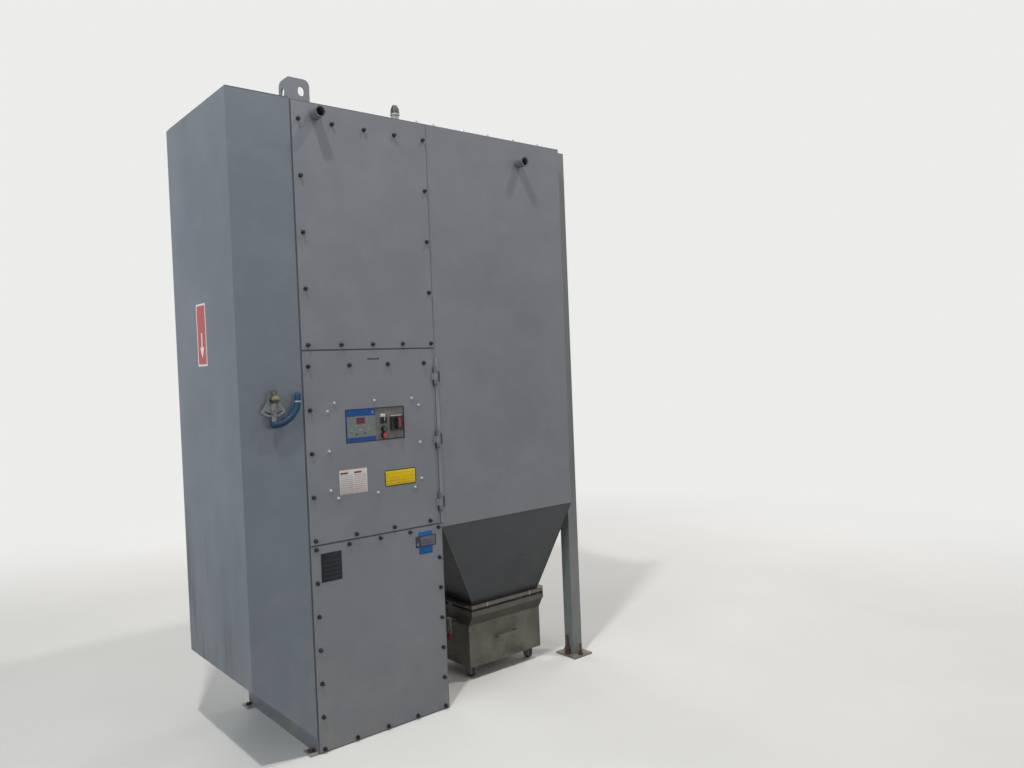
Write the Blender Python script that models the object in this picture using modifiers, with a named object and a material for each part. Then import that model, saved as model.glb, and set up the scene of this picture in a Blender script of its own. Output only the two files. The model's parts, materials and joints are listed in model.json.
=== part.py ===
# A cartridge dust and fume collector: a fan column with a control door, a filter housing
# with its hopper and rolling dust bin, and an exhaust plenum with a volume damper on the left.
# Metres, +Z up. The front faces -Y, and the origin is on the floor under the middle.

import math

import bmesh
import bpy
from mathutils import Matrix, Vector

# Driving dimensions
HEIGHT = 2.75
DEPTH = 0.75
COLUMN_WIDTH = 0.675
FILTER_WIDTH = 0.845
PLENUM_WIDTH = 0.27
HOPPER_TOP = 0.86
HOPPER_BOTTOM = 0.395
DOOR_HEIGHT = 0.82

# Sheet metal, fits and how round a round part is
SHEET = 0.003
DOUBLE_SHEET = SHEET + SHEET
GAP = 0.0003
DOUBLE_GAP = GAP + GAP
SEAM = 0.004
FRAME_LIP = 0.045
CUT_OVER = 0.05
MERGE = 0.00001
HALF = 0.5
NEXT = 1
WHOLE = 1
TO_RIGHT = 1
TO_LEFT = -TO_RIGHT
TWICE = 2
ROUND_STEPS = 32
SMALL_STEPS = 20
NUT_STEPS = 6
TUBE_ROUNDNESS = 6
SMOOTH_ANGLE = math.radians(30)
HALF_TURN = math.pi
QUARTER = HALF_TURN * HALF
FULL_TURN = math.tau
DIAGONAL = math.sqrt(TWICE)
MATRIX_SIZE = 4

# Directions
ALONG_X = Vector((1, 0, 0))
ALONG_Y = Vector((0, 1, 0))
ALONG_Z = Vector((0, 0, 1))
PLANE_TURNS = {
    "X": Matrix.Rotation(QUARTER, MATRIX_SIZE, "Z") @ Matrix.Rotation(QUARTER, MATRIX_SIZE, "X"),
    "Y": Matrix.Rotation(QUARTER, MATRIX_SIZE, "X"),
    "Z": Matrix.Identity(MATRIX_SIZE),
}
PLANE_AXES = {"X": ALONG_X, "Y": ALONG_Y, "Z": ALONG_Z}

# Finishes: label, colour, roughness and metallic of each
FINISHES = {
    "grey_paint": ("grey powder coat", (0.15, 0.16, 0.18), 0.5, 0),
    "dark_steel": ("dark painted steel", (0.05, 0.05, 0.055), 0.55, 0),
    "galvanised": ("galvanised steel", (0.42, 0.43, 0.42), 0.45, 0.9),
    "steel": ("bright steel", (0.55, 0.55, 0.56), 0.35, 1),
    "rubber": ("black rubber", (0.02, 0.02, 0.02), 0.8, 0),
    "black_plastic": ("black plastic", (0.02, 0.02, 0.022), 0.45, 0),
    "grey_plastic": ("grey membrane panel", (0.2, 0.22, 0.25), 0.4, 0),
    "red_plastic": ("red plastic", (0.45, 0.02, 0.02), 0.4, 0),
    "green_plastic": ("green plastic", (0.02, 0.16, 0.06), 0.4, 0),
    "blue_grip": ("blue grip sleeve", (0.02, 0.12, 0.28), 0.4, 0),
    "filter_paper": ("filter paper", (0.6, 0.56, 0.48), 0.85, 0),
    "motor_paint": ("motor enamel", (0.1, 0.14, 0.2), 0.5, 0.2),
}

# Plan positions that follow from the driving dimensions
LEG_SIDE = 0.065
LEG_STANDOFF = 0.03
LEG_PLATE = 0.13
REACH = 0.06
TOTAL_WIDTH = PLENUM_WIDTH + COLUMN_WIDTH + FILTER_WIDTH + LEG_PLATE
PLENUM_LEFT = -TOTAL_WIDTH * HALF
COLUMN_LEFT = PLENUM_LEFT + PLENUM_WIDTH
COLUMN_RIGHT = COLUMN_LEFT + COLUMN_WIDTH
HOUSING_RIGHT = COLUMN_RIGHT + FILTER_WIDTH
FRONT = -DEPTH * HALF
BACK = DEPTH * HALF
COLUMN_MIDDLE = (COLUMN_LEFT + COLUMN_RIGHT) * HALF
PLENUM_MIDDLE = (PLENUM_LEFT + COLUMN_LEFT) * HALF
SHELF_TOP = HOPPER_TOP
DOOR_RISE = 0.022
DOOR_BOTTOM = SHELF_TOP + DOOR_RISE
DOOR_TOP = DOOR_BOTTOM + DOOR_HEIGHT

# Base and plenum
BASE_HEIGHT = 0.06
BASE_RAIL = 0.05
BASE_WEB = 0.006
EAR_SIZE = 0.07
EAR_REACH = 0.035
EAR_THICKNESS = 0.008
EAR_ANCHOR = 0.014
PLENUM_SETBACK = 0.02
PLENUM_BACK = BACK - PLENUM_SETBACK
PLENUM_TOE = 0.07
OUTLET_MARGIN = 0.035
OUTLET_SLOTS = 6
OUTLET_BAR = 0.006
TRANSFER_RISE = 0.08
TRANSFER_DROP = 0.06
TRANSFER_LOW = PLENUM_TOE + PLENUM_WIDTH + TRANSFER_RISE
TRANSFER_HIGH = SHELF_TOP - TRANSFER_DROP

# Fan under the shelf
INLET_RADIUS = 0.15
IMPELLER_RADIUS = 0.22
IMPELLER_HEIGHT = 0.13
IMPELLER_RIM_SHARE = 0.68
IMPELLER_DROP = 0.05
BLADE_COUNT = 7
BLADE_POINTS = 5
BLADE_THICKNESS = 0.005
BLADE_SWEEP = math.radians(34)
HUB_RADIUS = 0.04
SHAFT_RADIUS = 0.019
MOTOR_RADIUS = 0.108
MOTOR_FIN = 0.014
MOTOR_FINS = 20
MOTOR_FIN_SHARES = (0, 0.3, 0.42, 0.88)
MOTOR_HEIGHT = 0.30
MOTOR_END = 0.05
MOTOR_SHAFT = 0.03
MOTOR_FLANGE_THICKNESS = 0.014
TERMINAL_BOX = (0.05, 0.09, 0.11)
STAND_REACH = 0.15
STAND_PLATE = 0.012

# Filters
FILTER_ROW_SHARES = (0.143, 0.45, 0.757)
FILTER_SPREAD_SHARE = 0.25
FILTER_RADIUS_SHARE = 0.207
FILTER_BORE_SHARE = 0.8
SHEET_HOLE_SHARE = 0.742
FILTER_LENGTH_SHARE = 0.734
FILTER_CAP = 0.014
FILTER_CAP_STEP = 0.004
MANIFOLD_RADIUS = 0.045
MANIFOLD_WALL = 0.004
CROSS_RADIUS = 0.034
NOZZLE_RADIUS = 0.017
NOZZLE_LENGTH = 0.13
NOZZLE_STEPS = 12

# Filter door on the back
FILTER_DOOR_THICKNESS = 0.025
FILTER_DOOR_SIDE = 0.06
FILTER_DOOR_LOW = 0.14
FILTER_DOOR_HIGH = 0.13
FILTER_OPENING_INSET = 0.04
LATCH_INSET = 0.045
LATCH_SHARES = (0.25, 0.75)
LATCH_RADIUS = 0.018
LATCH_BAR = (0.11, 0.014, 0.022)

# Hinges
KNUCKLE_RADIUS = 0.007
PIN_RADIUS = 0.003
PIN_CLEARANCE = 0.0004
KNUCKLE_LENGTH = 0.03
HINGE_STANDOFF = 0.010
HINGE_SHARES = (0.12, 0.48, 0.84)
RAIL_WIDTH = 0.022
RAIL_TOP_DROP = 0.04
TAB_OVERLAP = 0.0013
RAIL_THICKNESS = 0.006

# Control door, with its window as shares of the column's width and the door's height
WINDOW_WIDTH_SHARES = (0.289, 0.7215)
WINDOW_HEIGHT_SHARES = (0.5098, 0.6829)
WINDOW_LEFT = COLUMN_LEFT + COLUMN_WIDTH * WINDOW_WIDTH_SHARES[0]
WINDOW_RIGHT = COLUMN_LEFT + COLUMN_WIDTH * WINDOW_WIDTH_SHARES[-NEXT]
WINDOW_LOW = DOOR_BOTTOM + DOOR_HEIGHT * WINDOW_HEIGHT_SHARES[0]
WINDOW_HIGH = DOOR_BOTTOM + DOOR_HEIGHT * WINDOW_HEIGHT_SHARES[-NEXT]
DOOR_THICKNESS = 0.003
DOOR_PAN = 0.02
DOOR_PAN_INSET = 0.06
BOX_DEPTH = 0.12
BOX_DROP = 0.30
BOX_RISE = 0.06
PLATE_RIM = 0.015

# Controls, with their places as shares of the window's width and height
CONTROLLER_SHARE = 0.49
CONTROLLER_PROUD = 0.002
SELECTOR_SHARES = (0.64, 0.606)
START_SHARES = (0.64, 0.331)
STOP_SHARES = (0.64, 0.127)
SWITCH_SHARES = (0.866, 0.479)
SELECTOR_RADIUS = 0.013
SELECTOR_BAR = 0.006
START_RADIUS = 0.011
STOP_RADIUS = 0.0125
COLLAR_DEPTH = 0.004
BUTTON_DEPTH = 0.012
BUTTON_FIT = 0.0006
BUTTON_STEM = 0.004
BUTTON_TRAVEL = 0.003
SWITCH_SIDE = 0.062
SWITCH_DEPTH = 0.012
SWITCH_HANDLE = (0.016, 0.018, 0.05)

# Damper on the plenum
DAMPER_HEIGHT = 1.509
SECTOR_RADIUS = 0.074
SECTOR_HALF_ANGLE = math.radians(46)
SECTOR_TOP = 0.02
SECTOR_STANDOFF = 0.012
SECTOR_POINTS = 11
SLOT_RADIUS = 0.061
SLOT_WIDTH = 0.008
SLOT_HALF_ANGLE = math.radians(39)
DAMPER_SHAFT_RADIUS = 0.007
DAMPER_BLADE_TILT = math.radians(45)
DAMPER_BLADE_MARGIN = 0.012
DAMPER_BOSS_RADIUS = 0.017
DAMPER_BOSS_LENGTH = 0.026
EYE_RADIUS = 0.0125
EYE_BORE = 0.007
EYE_RISE = 0.026
EYE_THICKNESS = 0.006
LEVER_ARM_WIDTH = 0.02
LEVER_ARM_THICKNESS = 0.004
ARM_ANGLE = -QUARTER
ARM_POINTS = 4
GRIP_RADIUS = 0.0135
GRIP_ARC_RADIUS = 0.105
GRIP_START = math.radians(-98)
GRIP_END = math.radians(13)
GRIP_POINTS = 12
GRIP_SEAT = 0.0005
GRIP_END_SHARES = ((0, 0.42), (0.018, 0.78), (0.045, 1))
NUT_RADIUS = 0.0075
NUT_HEIGHT = 0.008
LOCK_RADIUS = 0.003

# Outside fittings
LUG_WIDTH = 0.094
LUG_HEIGHT = 0.09
LUG_THICKNESS = 0.006
LUG_CORNER = 0.026
LUG_CORNER_POINTS = 6
LUG_EYE_WIDTH = 0.028
LUG_EYE_HEIGHT = 0.04
LUG_EYE_SHARES = (0.6, 0.42)
STUB_RADIUS = 0.024
STUB_WALL = 0.004
STUB_WIDTH_SHARES = (0.166, 0.6615)
LEFT_STUB_DROP = 0.05
RIGHT_STUB_DROP = 0.112
AIR_PORT_SHARE = 0.8
AIR_PORT_SETBACK = 0.045
AIR_PORT_RADIUS = 0.018
AIR_PORT_HEIGHT = 0.028
AIR_CAP_RADIUS = 0.022
AIR_CAP_HEIGHT = 0.05
AIR_CAP_SHARES = ((0, 1), (0.5, 0.92), (0.85, 0.6))
INLET_COLLAR_RADIUS = 0.125
INLET_COLLAR_LENGTH = 0.10
INLET_FLANGE = 0.03
INLET_DROP = 0.40
ANCHOR_RADIUS = 0.006
ANCHOR_HEIGHT = 0.07
ANCHOR_SHARE = 0.375
LEG_PLATE_THICKNESS = 0.01
LEG_PLATE_DEPTH = 0.15
LEG_WALL = 0.004
LEG_INSET = 0.06
BRACKET_HEIGHT = 0.08
BRACKET_INSET = 0.008
BRACKET_SHARES = (0.07, 0.5, 0.93)

# Hopper, bin and clamps
OUTLET_WIDTH_SHARES = (0.3314, 0.852)
OUTLET_DEPTH_SHARE = 0.22
HOPPER_FLANGE = 0.022
FLANGE_THICKNESS = 0.018
SEAL_THICKNESS = 0.012
SEAL_WIDTH = 0.025
LIP_HEIGHT = 0.026
LIP_WIDTH = 0.03
SHOULDER_HEIGHT = 0.055
SHOULDER_INSET = 0.035
CASTER_RADIUS = 0.027
CASTER_WIDTH = 0.022
CASTER_TRAIL = 0.014
FORK_TOP = 0.004
FORK_LOW_SHARE = 0.67
SWIVEL_RADIUS = 0.02
SWIVEL_HEIGHT = 0.008
CASTER_INSET = 0.045
PULL_THICKNESS = 0.012
PULL_WIDTH = 0.14
PULL_REACH = 0.03
PULL_HEIGHT_SHARE = 0.6
CLAMP_SETBACK = 0.10
CLAMP_WIDTH = 0.03
LEVER_PIN_RADIUS = 0.006
LEVER_LENGTH = 0.075
LEVER_THICKNESS = 0.008
CLAMP_GRIP = 0.035
CLAMP_GRIP_THICKNESS = 0.014
HOOK_THICKNESS = 0.004
HOOK_TURN = 0.014
CATCH_REACH = 0.006

parts = None
cutters = None


def clear_scene():
    for old in list(bpy.data.objects):
        bpy.data.objects.remove(old, do_unlink=True)


def make_collection(name):
    collection = bpy.data.collections.new(name)
    bpy.context.scene.collection.children.link(collection)
    return collection


def make_material(name, colour, roughness, metallic):
    material = bpy.data.materials.new(name)
    material.use_nodes = True
    shader = material.node_tree.nodes["Principled BSDF"]
    shader.inputs["Base Color"].default_value = (*colour, WHOLE)
    shader.inputs["Roughness"].default_value = roughness
    shader.inputs["Metallic"].default_value = metallic
    return material


def place(name, mesh, origin, material=None):
    """Links a mesh as an object. Without a material it is a cutter or a piece to join."""
    mesh.name = name
    made = bpy.data.objects.new(name, mesh)
    made.location = origin
    if material is None:
        cutters.objects.link(made)
        made.hide_render = True
        made.display_type = "WIRE"
    else:
        parts.objects.link(made)
        mesh.materials.append(material)
        mesh.shade_smooth()
        mesh.set_sharp_from_angle(angle=SMOOTH_ANGLE)
    return made


def mesh_from(bm):
    mesh = bpy.data.meshes.new("shape")
    bm.to_mesh(mesh)
    bm.free()
    return mesh


def plain(name, source, move, origin, material):
    """Makes a drawn shape a closed mesh that is moved into place about its origin."""
    graph = bpy.context.evaluated_depsgraph_get()
    mesh = bpy.data.meshes.new_from_object(source.evaluated_get(graph))
    bpy.data.objects.remove(source, do_unlink=True)
    bm = bmesh.new()
    bm.from_mesh(mesh)
    bmesh.ops.remove_doubles(bm, verts=bm.verts, dist=MERGE)
    bmesh.ops.transform(bm, matrix=Matrix.Translation(-origin) @ move, verts=bm.verts)
    bmesh.ops.recalc_face_normals(bm, faces=bm.faces)
    return place(name, mesh_from(bm), origin, material)


def box(name, low, high, material=None, origin=None):
    """A box between two corners, with its origin at the middle unless one is given."""
    low = Vector(low)
    high = Vector(high)
    middle = (low + high) * HALF
    origin = middle if origin is None else Vector(origin)
    bm = bmesh.new()
    bmesh.ops.create_cube(bm, size=NEXT)
    bmesh.ops.scale(bm, vec=high - low, verts=bm.verts)
    bmesh.ops.translate(bm, vec=middle - origin, verts=bm.verts)
    return place(name, mesh_from(bm), origin, material)


def cylinder(name, start, end, radius, material=None, origin=None, steps=SMALL_STEPS):
    """A cylinder between two points, with its origin halfway unless one is given."""
    start = Vector(start)
    end = Vector(end)
    middle = (start + end) * HALF
    origin = middle if origin is None else Vector(origin)
    axis = end - start
    bm = bmesh.new()
    bmesh.ops.create_cone(
        bm, cap_ends=True, segments=steps, radius1=radius, radius2=radius, depth=axis.length
    )
    turn = axis.to_track_quat("Z", "Y").to_matrix().to_4x4()
    move = Matrix.Translation(middle - origin) @ turn
    bmesh.ops.transform(bm, matrix=move, verts=bm.verts)
    return place(name, mesh_from(bm), origin, material)


def turned(name, profile, foot, axis, material=None, origin=None, steps=ROUND_STEPS):
    """A profile of (radius, height) points, turned about an axis that starts at its foot."""
    bm = bmesh.new()
    points = [bm.verts.new((radius, 0, height)) for radius, height in profile]
    for first, second in zip(points, points[NEXT:]):
        bm.edges.new((first, second))
    drawn = place(name, mesh_from(bm), (0, 0, 0))
    screw = drawn.modifiers.new("Turn", "SCREW")
    screw.steps = steps
    screw.render_steps = steps
    screw.use_merge_vertices = True
    screw.merge_threshold = MERGE
    foot = Vector(foot)
    origin = foot if origin is None else Vector(origin)
    turn = Vector(axis).to_track_quat("Z", "Y").to_matrix().to_4x4()
    return plain(name, drawn, Matrix.Translation(foot) @ turn, origin, material)


def draw_curve(name, points, dimensions):
    """A straight-sided curve through points, with its object in the cutters' collection."""
    curve = bpy.data.curves.new(name, "CURVE")
    curve.dimensions = dimensions
    spline = curve.splines.new("POLY")
    spline.points.add(len(points) - NEXT)
    for point, spot in zip(spline.points, points):
        point.co = (*spot, WHOLE)
    drawn = bpy.data.objects.new(name, curve)
    cutters.objects.link(drawn)
    return drawn


def outline(name, points, low, high, axis, material=None, origin=(0, 0, 0)):
    """A flat outline in the plane across an axis, made thick from low to high along it."""
    drawn = draw_curve(name, [(across, up, 0) for across, up in points], "2D")
    drawn.data.splines[0].use_cyclic_u = True
    drawn.data.fill_mode = "BOTH"
    drawn.data.extrude = (high - low) * HALF
    middle = PLANE_AXES[axis] * (low + high) * HALF
    move = Matrix.Translation(middle) @ PLANE_TURNS[axis]
    return plain(name, drawn, move, Vector(origin), material)


def tube(name, points, radius, scales, material, origin):
    """A round bar along points, with closed ends. The scales thin it at each point."""
    drawn = draw_curve(name, points, "3D")
    for point, scale in zip(drawn.data.splines[0].points, scales):
        point.radius = scale
    drawn.data.bevel_depth = radius
    drawn.data.bevel_resolution = TUBE_ROUNDNESS
    drawn.data.use_fill_caps = True
    return plain(name, drawn, Matrix.Identity(MATRIX_SIZE), Vector(origin), material)


def loft(name, levels, origin, material=None):
    """A straight loft through rectangles, each given as its sides and a height."""
    bm = bmesh.new()
    rings = []
    for (left, right, front, back), z in levels:
        corners = ((left, front), (right, front), (right, back), (left, back))
        rings.append([bm.verts.new(Vector((x, y, z)) - Vector(origin)) for x, y in corners])
    bm.faces.new(reversed(rings[0]))
    bm.faces.new(rings[-NEXT])
    for low, high in zip(rings, rings[NEXT:]):
        for index in range(len(low)):
            following = (index + NEXT) % len(low)
            bm.faces.new((low[index], low[following], high[following], high[index]))
    return place(name, mesh_from(bm), origin, material)


def shrink(sides, amount):
    left, right, front, back = sides
    return (left + amount, right - amount, front + amount, back - amount)


def ring_frame(name, outer, inner, low, high, material):
    """A flat rectangular ring."""
    left, right, front, back = outer
    made = box(name, (left, front, low), (right, back, high), material)
    left, right, front, back = inner
    cut(made, box("cut_" + name, (left, front, low - CUT_OVER), (right, back, high + CUT_OVER)))
    return made


def evenly(start, end, count):
    """Evenly spaced values from start to end, with both of them."""
    step = (end - start) / (count - NEXT)
    return [start + step * index for index in range(count)]


def arc(centre, radius, start, end, count):
    """Points of a flat arc, with angles counted from the first axis of its plane."""
    across, up = centre
    angles = evenly(start, end, count)
    return [(across + radius * math.cos(a), up + radius * math.sin(a)) for a in angles]


def combine(target, other, operation):
    modifier = target.modifiers.new(other.name, "BOOLEAN")
    modifier.operation = operation
    modifier.object = other


def cut(target, *tools):
    for tool in tools:
        combine(target, tool, "DIFFERENCE")


def join(target, *pieces):
    for piece in pieces:
        combine(target, piece, "UNION")


def make_materials():
    made = {}
    for key, (label, colour, roughness, metallic) in FINISHES.items():
        made[key] = make_material(label, colour, roughness, metallic)
    return made


def build_column(m):
    floor = BASE_HEIGHT + GAP
    casing = box(
        "fan_column_casing", (COLUMN_LEFT, FRONT, floor), (COLUMN_RIGHT, BACK, HEIGHT), m["grey_paint"]
    )
    inner_low = (COLUMN_LEFT + SHEET, FRONT + SHEET)
    inner_high = (COLUMN_RIGHT - SHEET, BACK - SHEET)
    cut(
        casing,
        box("cut_fan_space", (*inner_low, floor + SHEET), (*inner_high, SHELF_TOP - SHEET)),
        box("cut_clean_space", (*inner_low, SHELF_TOP), (*inner_high, HEIGHT - SHEET)),
        cylinder(
            "cut_fan_inlet",
            (COLUMN_MIDDLE, 0, SHELF_TOP - CUT_OVER),
            (COLUMN_MIDDLE, 0, SHELF_TOP + CUT_OVER),
            INLET_RADIUS,
            steps=ROUND_STEPS,
        ),
    )
    front_openings = (
        ("upper", DOOR_TOP + FRAME_LIP, HEIGHT - FRAME_LIP),
        ("door", DOOR_BOTTOM + FRAME_LIP, DOOR_TOP - FRAME_LIP),
        ("lower", BASE_HEIGHT + FRAME_LIP, SHELF_TOP - FRAME_LIP * HALF),
    )
    for label, low, high in front_openings:
        near = (COLUMN_LEFT + FRAME_LIP, FRONT - CUT_OVER, low)
        far = (COLUMN_RIGHT - FRAME_LIP, FRONT + CUT_OVER, high)
        cut(casing, box("cut_front_" + label, near, far))
    cut(
        casing,
        box(
            "cut_transfer",
            (COLUMN_LEFT - CUT_OVER, FRONT + FRAME_LIP, TRANSFER_LOW),
            (COLUMN_LEFT + CUT_OVER, PLENUM_BACK - FRAME_LIP, TRANSFER_HIGH),
        ),
        box(
            "cut_clean_side",
            (COLUMN_RIGHT - CUT_OVER, FRONT + FRAME_LIP, SHELF_TOP + FRAME_LIP),
            (COLUMN_RIGHT + CUT_OVER, BACK - FRAME_LIP, HEIGHT - FRAME_LIP),
        ),
    )
    build_base(m)
    panels = (
        ("upper_access_panel", DOOR_TOP + SEAM, HEIGHT - SEAM * HALF),
        ("lower_access_panel", SEAM, DOOR_BOTTOM - SEAM),
    )
    for name, low, high in panels:
        near = (COLUMN_LEFT + SEAM, FRONT - GAP - SHEET, low)
        far = (COLUMN_RIGHT - SEAM, FRONT - GAP, high)
        box(name, near, far, m["grey_paint"])


def build_base(m):
    """A channel frame with its flanges turned inwards, and two ears with anchors."""
    base = box(
        "column_base_frame", (COLUMN_LEFT, FRONT, 0), (COLUMN_RIGHT, BACK, BASE_HEIGHT), m["dark_steel"]
    )
    cut(
        base,
        box(
            "cut_base",
            (COLUMN_LEFT + BASE_RAIL, FRONT + BASE_RAIL, -CUT_OVER),
            (COLUMN_RIGHT - BASE_RAIL, BACK - BASE_RAIL, BASE_HEIGHT + CUT_OVER),
        ),
        box(
            "cut_channel",
            (COLUMN_LEFT + BASE_WEB, FRONT + BASE_WEB, BASE_WEB),
            (COLUMN_RIGHT - BASE_WEB, BACK - BASE_WEB, BASE_HEIGHT - BASE_WEB),
        ),
    )
    ear_left = COLUMN_LEFT - EAR_REACH
    ear_right = COLUMN_LEFT + BASE_WEB * HALF
    anchor_x = COLUMN_LEFT - EAR_REACH * HALF
    for label, edge in (("front", FRONT), ("back", BACK - EAR_SIZE)):
        middle = edge + EAR_SIZE * HALF
        join(
            base,
            box("ear_" + label, (ear_left, edge, 0), (ear_right, edge + EAR_SIZE, EAR_THICKNESS)),
            cylinder(
                "ear_anchor_" + label,
                (anchor_x, middle, EAR_THICKNESS * HALF),
                (anchor_x, middle, EAR_THICKNESS + EAR_ANCHOR),
                ANCHOR_RADIUS,
            ),
        )


def build_plenum(m):
    left = PLENUM_LEFT
    right = COLUMN_LEFT - GAP
    rise = right - left
    outer = ((left, PLENUM_TOE + rise), (right, PLENUM_TOE), (right, HEIGHT), (left, HEIGHT))
    inner_left = left + SHEET
    inner_right = right + CUT_OVER
    inner_toe = PLENUM_TOE + SHEET * DIAGONAL - CUT_OVER
    inner = (
        (inner_left, inner_toe + inner_right - inner_left),
        (inner_right, inner_toe),
        (inner_right, HEIGHT - SHEET),
        (inner_left, HEIGHT - SHEET),
    )
    shell = outline("exhaust_plenum", outer, FRONT, PLENUM_BACK, "Y", m["grey_paint"])
    cut(
        shell,
        outline("cut_plenum", inner, FRONT + SHEET, PLENUM_BACK - SHEET, "Y"),
        box(
            "cut_outlet",
            (left + OUTLET_MARGIN, FRONT + OUTLET_MARGIN, HEIGHT - CUT_OVER),
            (right - OUTLET_MARGIN, PLENUM_BACK - OUTLET_MARGIN, HEIGHT + CUT_OVER),
        ),
        cylinder(
            "cut_damper_bore",
            (PLENUM_MIDDLE, FRONT - CUT_OVER, DAMPER_HEIGHT),
            (PLENUM_MIDDLE, FRONT + CUT_OVER, DAMPER_HEIGHT),
            DAMPER_SHAFT_RADIUS + PIN_CLEARANCE,
        ),
    )
    grille = box(
        "outlet_grille",
        (left + SEAM, FRONT + SEAM, HEIGHT + GAP),
        (right - SEAM, PLENUM_BACK - SEAM, HEIGHT + GAP + OUTLET_BAR),
        m["grey_paint"],
    )
    low = FRONT + OUTLET_MARGIN
    pitch = (PLENUM_BACK - OUTLET_MARGIN - low + OUTLET_BAR) / OUTLET_SLOTS
    for index in range(OUTLET_SLOTS):
        start = low + index * pitch
        near = (left + OUTLET_MARGIN, start, HEIGHT - CUT_OVER)
        far = (right - OUTLET_MARGIN, start + pitch - OUTLET_BAR, HEIGHT + CUT_OVER)
        cut(grille, box("cut_grille_" + str(index), near, far))


def build_damper(m):
    """The damper: a slotted sector, and a lever, a curved grip and a blade that turn as one."""
    axis = Vector((PLENUM_MIDDLE, FRONT, DAMPER_HEIGHT))
    sector_back = FRONT - SECTOR_STANDOFF
    sector_front = sector_back - SHEET
    build_sector(m, axis, sector_back, sector_front)
    arm_back = sector_front - GAP
    arm_front = arm_back - LEVER_ARM_THICKNESS
    build_blade(m, axis, arm_front)
    build_lever(m, axis, sector_back, arm_back, arm_front)

    angles = evenly(GRIP_START, GRIP_END, GRIP_POINTS)
    turns = [GRIP_START + (GRIP_END - GRIP_START) * share for share, scale in GRIP_END_SHARES]
    closing = [GRIP_START + GRIP_END - turn for turn in reversed(turns)]
    scales = [scale for share, scale in GRIP_END_SHARES]
    full = [WHOLE] * len(angles[NEXT:-NEXT])
    middle_y = (arm_back + arm_front) * HALF - GRIP_RADIUS * HALF
    spots = [
        (axis.x + GRIP_ARC_RADIUS * math.cos(turn), middle_y, axis.z + GRIP_ARC_RADIUS * math.sin(turn))
        for turn in turns + angles[NEXT:-NEXT] + closing
    ]
    factors = scales + full + scales[::-NEXT]
    tube("damper_grip", spots, GRIP_RADIUS, factors, m["blue_grip"], axis)


def build_sector(m, axis, back, front):
    centre = (axis.x, axis.z)
    points = [(axis.x + SECTOR_TOP, axis.z), (axis.x + SECTOR_TOP, axis.z + SECTOR_TOP)]
    points += [(axis.x - SECTOR_TOP, axis.z + SECTOR_TOP), (axis.x - SECTOR_TOP, axis.z)]
    low_left = -QUARTER - SECTOR_HALF_ANGLE
    low_right = -QUARTER + SECTOR_HALF_ANGLE
    points += arc(centre, SECTOR_RADIUS, low_left, low_right, SECTOR_POINTS)
    sector = outline("damper_sector_plate", points, front, back, "Y", m["galvanised"])
    slot_ends = (-QUARTER - SLOT_HALF_ANGLE, -QUARTER + SLOT_HALF_ANGLE)
    slot = arc(centre, SLOT_RADIUS + SLOT_WIDTH * HALF, *slot_ends, SECTOR_POINTS)
    slot += arc(centre, SLOT_RADIUS - SLOT_WIDTH * HALF, *reversed(slot_ends), SECTOR_POINTS)
    join(
        sector,
        cylinder(
            "sector_spacer",
            (axis.x, FRONT - GAP, axis.z),
            (axis.x, back - SHEET * HALF, axis.z),
            DAMPER_BOSS_RADIUS,
        ),
    )
    cut(
        sector,
        outline("cut_sector_slot", slot, front - CUT_OVER, FRONT - GAP, "Y"),
        cylinder(
            "cut_sector_bore",
            (axis.x, FRONT + CUT_OVER, axis.z),
            (axis.x, FRONT - CUT_OVER, axis.z),
            DAMPER_SHAFT_RADIUS + PIN_CLEARANCE,
        ),
    )


def build_blade(m, axis, shaft_end):
    back = PLENUM_BACK - SHEET - DAMPER_BLADE_MARGIN
    shaft = cylinder(
        "damper_blade",
        (axis.x, shaft_end, axis.z),
        (axis.x, back, axis.z),
        DAMPER_SHAFT_RADIUS,
        m["galvanised"],
        origin=axis,
    )
    reach = PLENUM_WIDTH * HALF - SHEET - DAMPER_BLADE_MARGIN
    across = Vector((math.cos(DAMPER_BLADE_TILT), 0, math.sin(DAMPER_BLADE_TILT)))
    thick = ALONG_Y.cross(across) * SHEET * HALF
    corners = [
        axis + across * reach + thick,
        axis - across * reach + thick,
        axis - across * reach - thick,
        axis + across * reach - thick,
    ]
    flat = [(corner.x, corner.z) for corner in corners]
    front = FRONT + SHEET + DAMPER_BLADE_MARGIN
    join(shaft, outline("blade_plate", flat, front, back, "Y", origin=axis))


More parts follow.
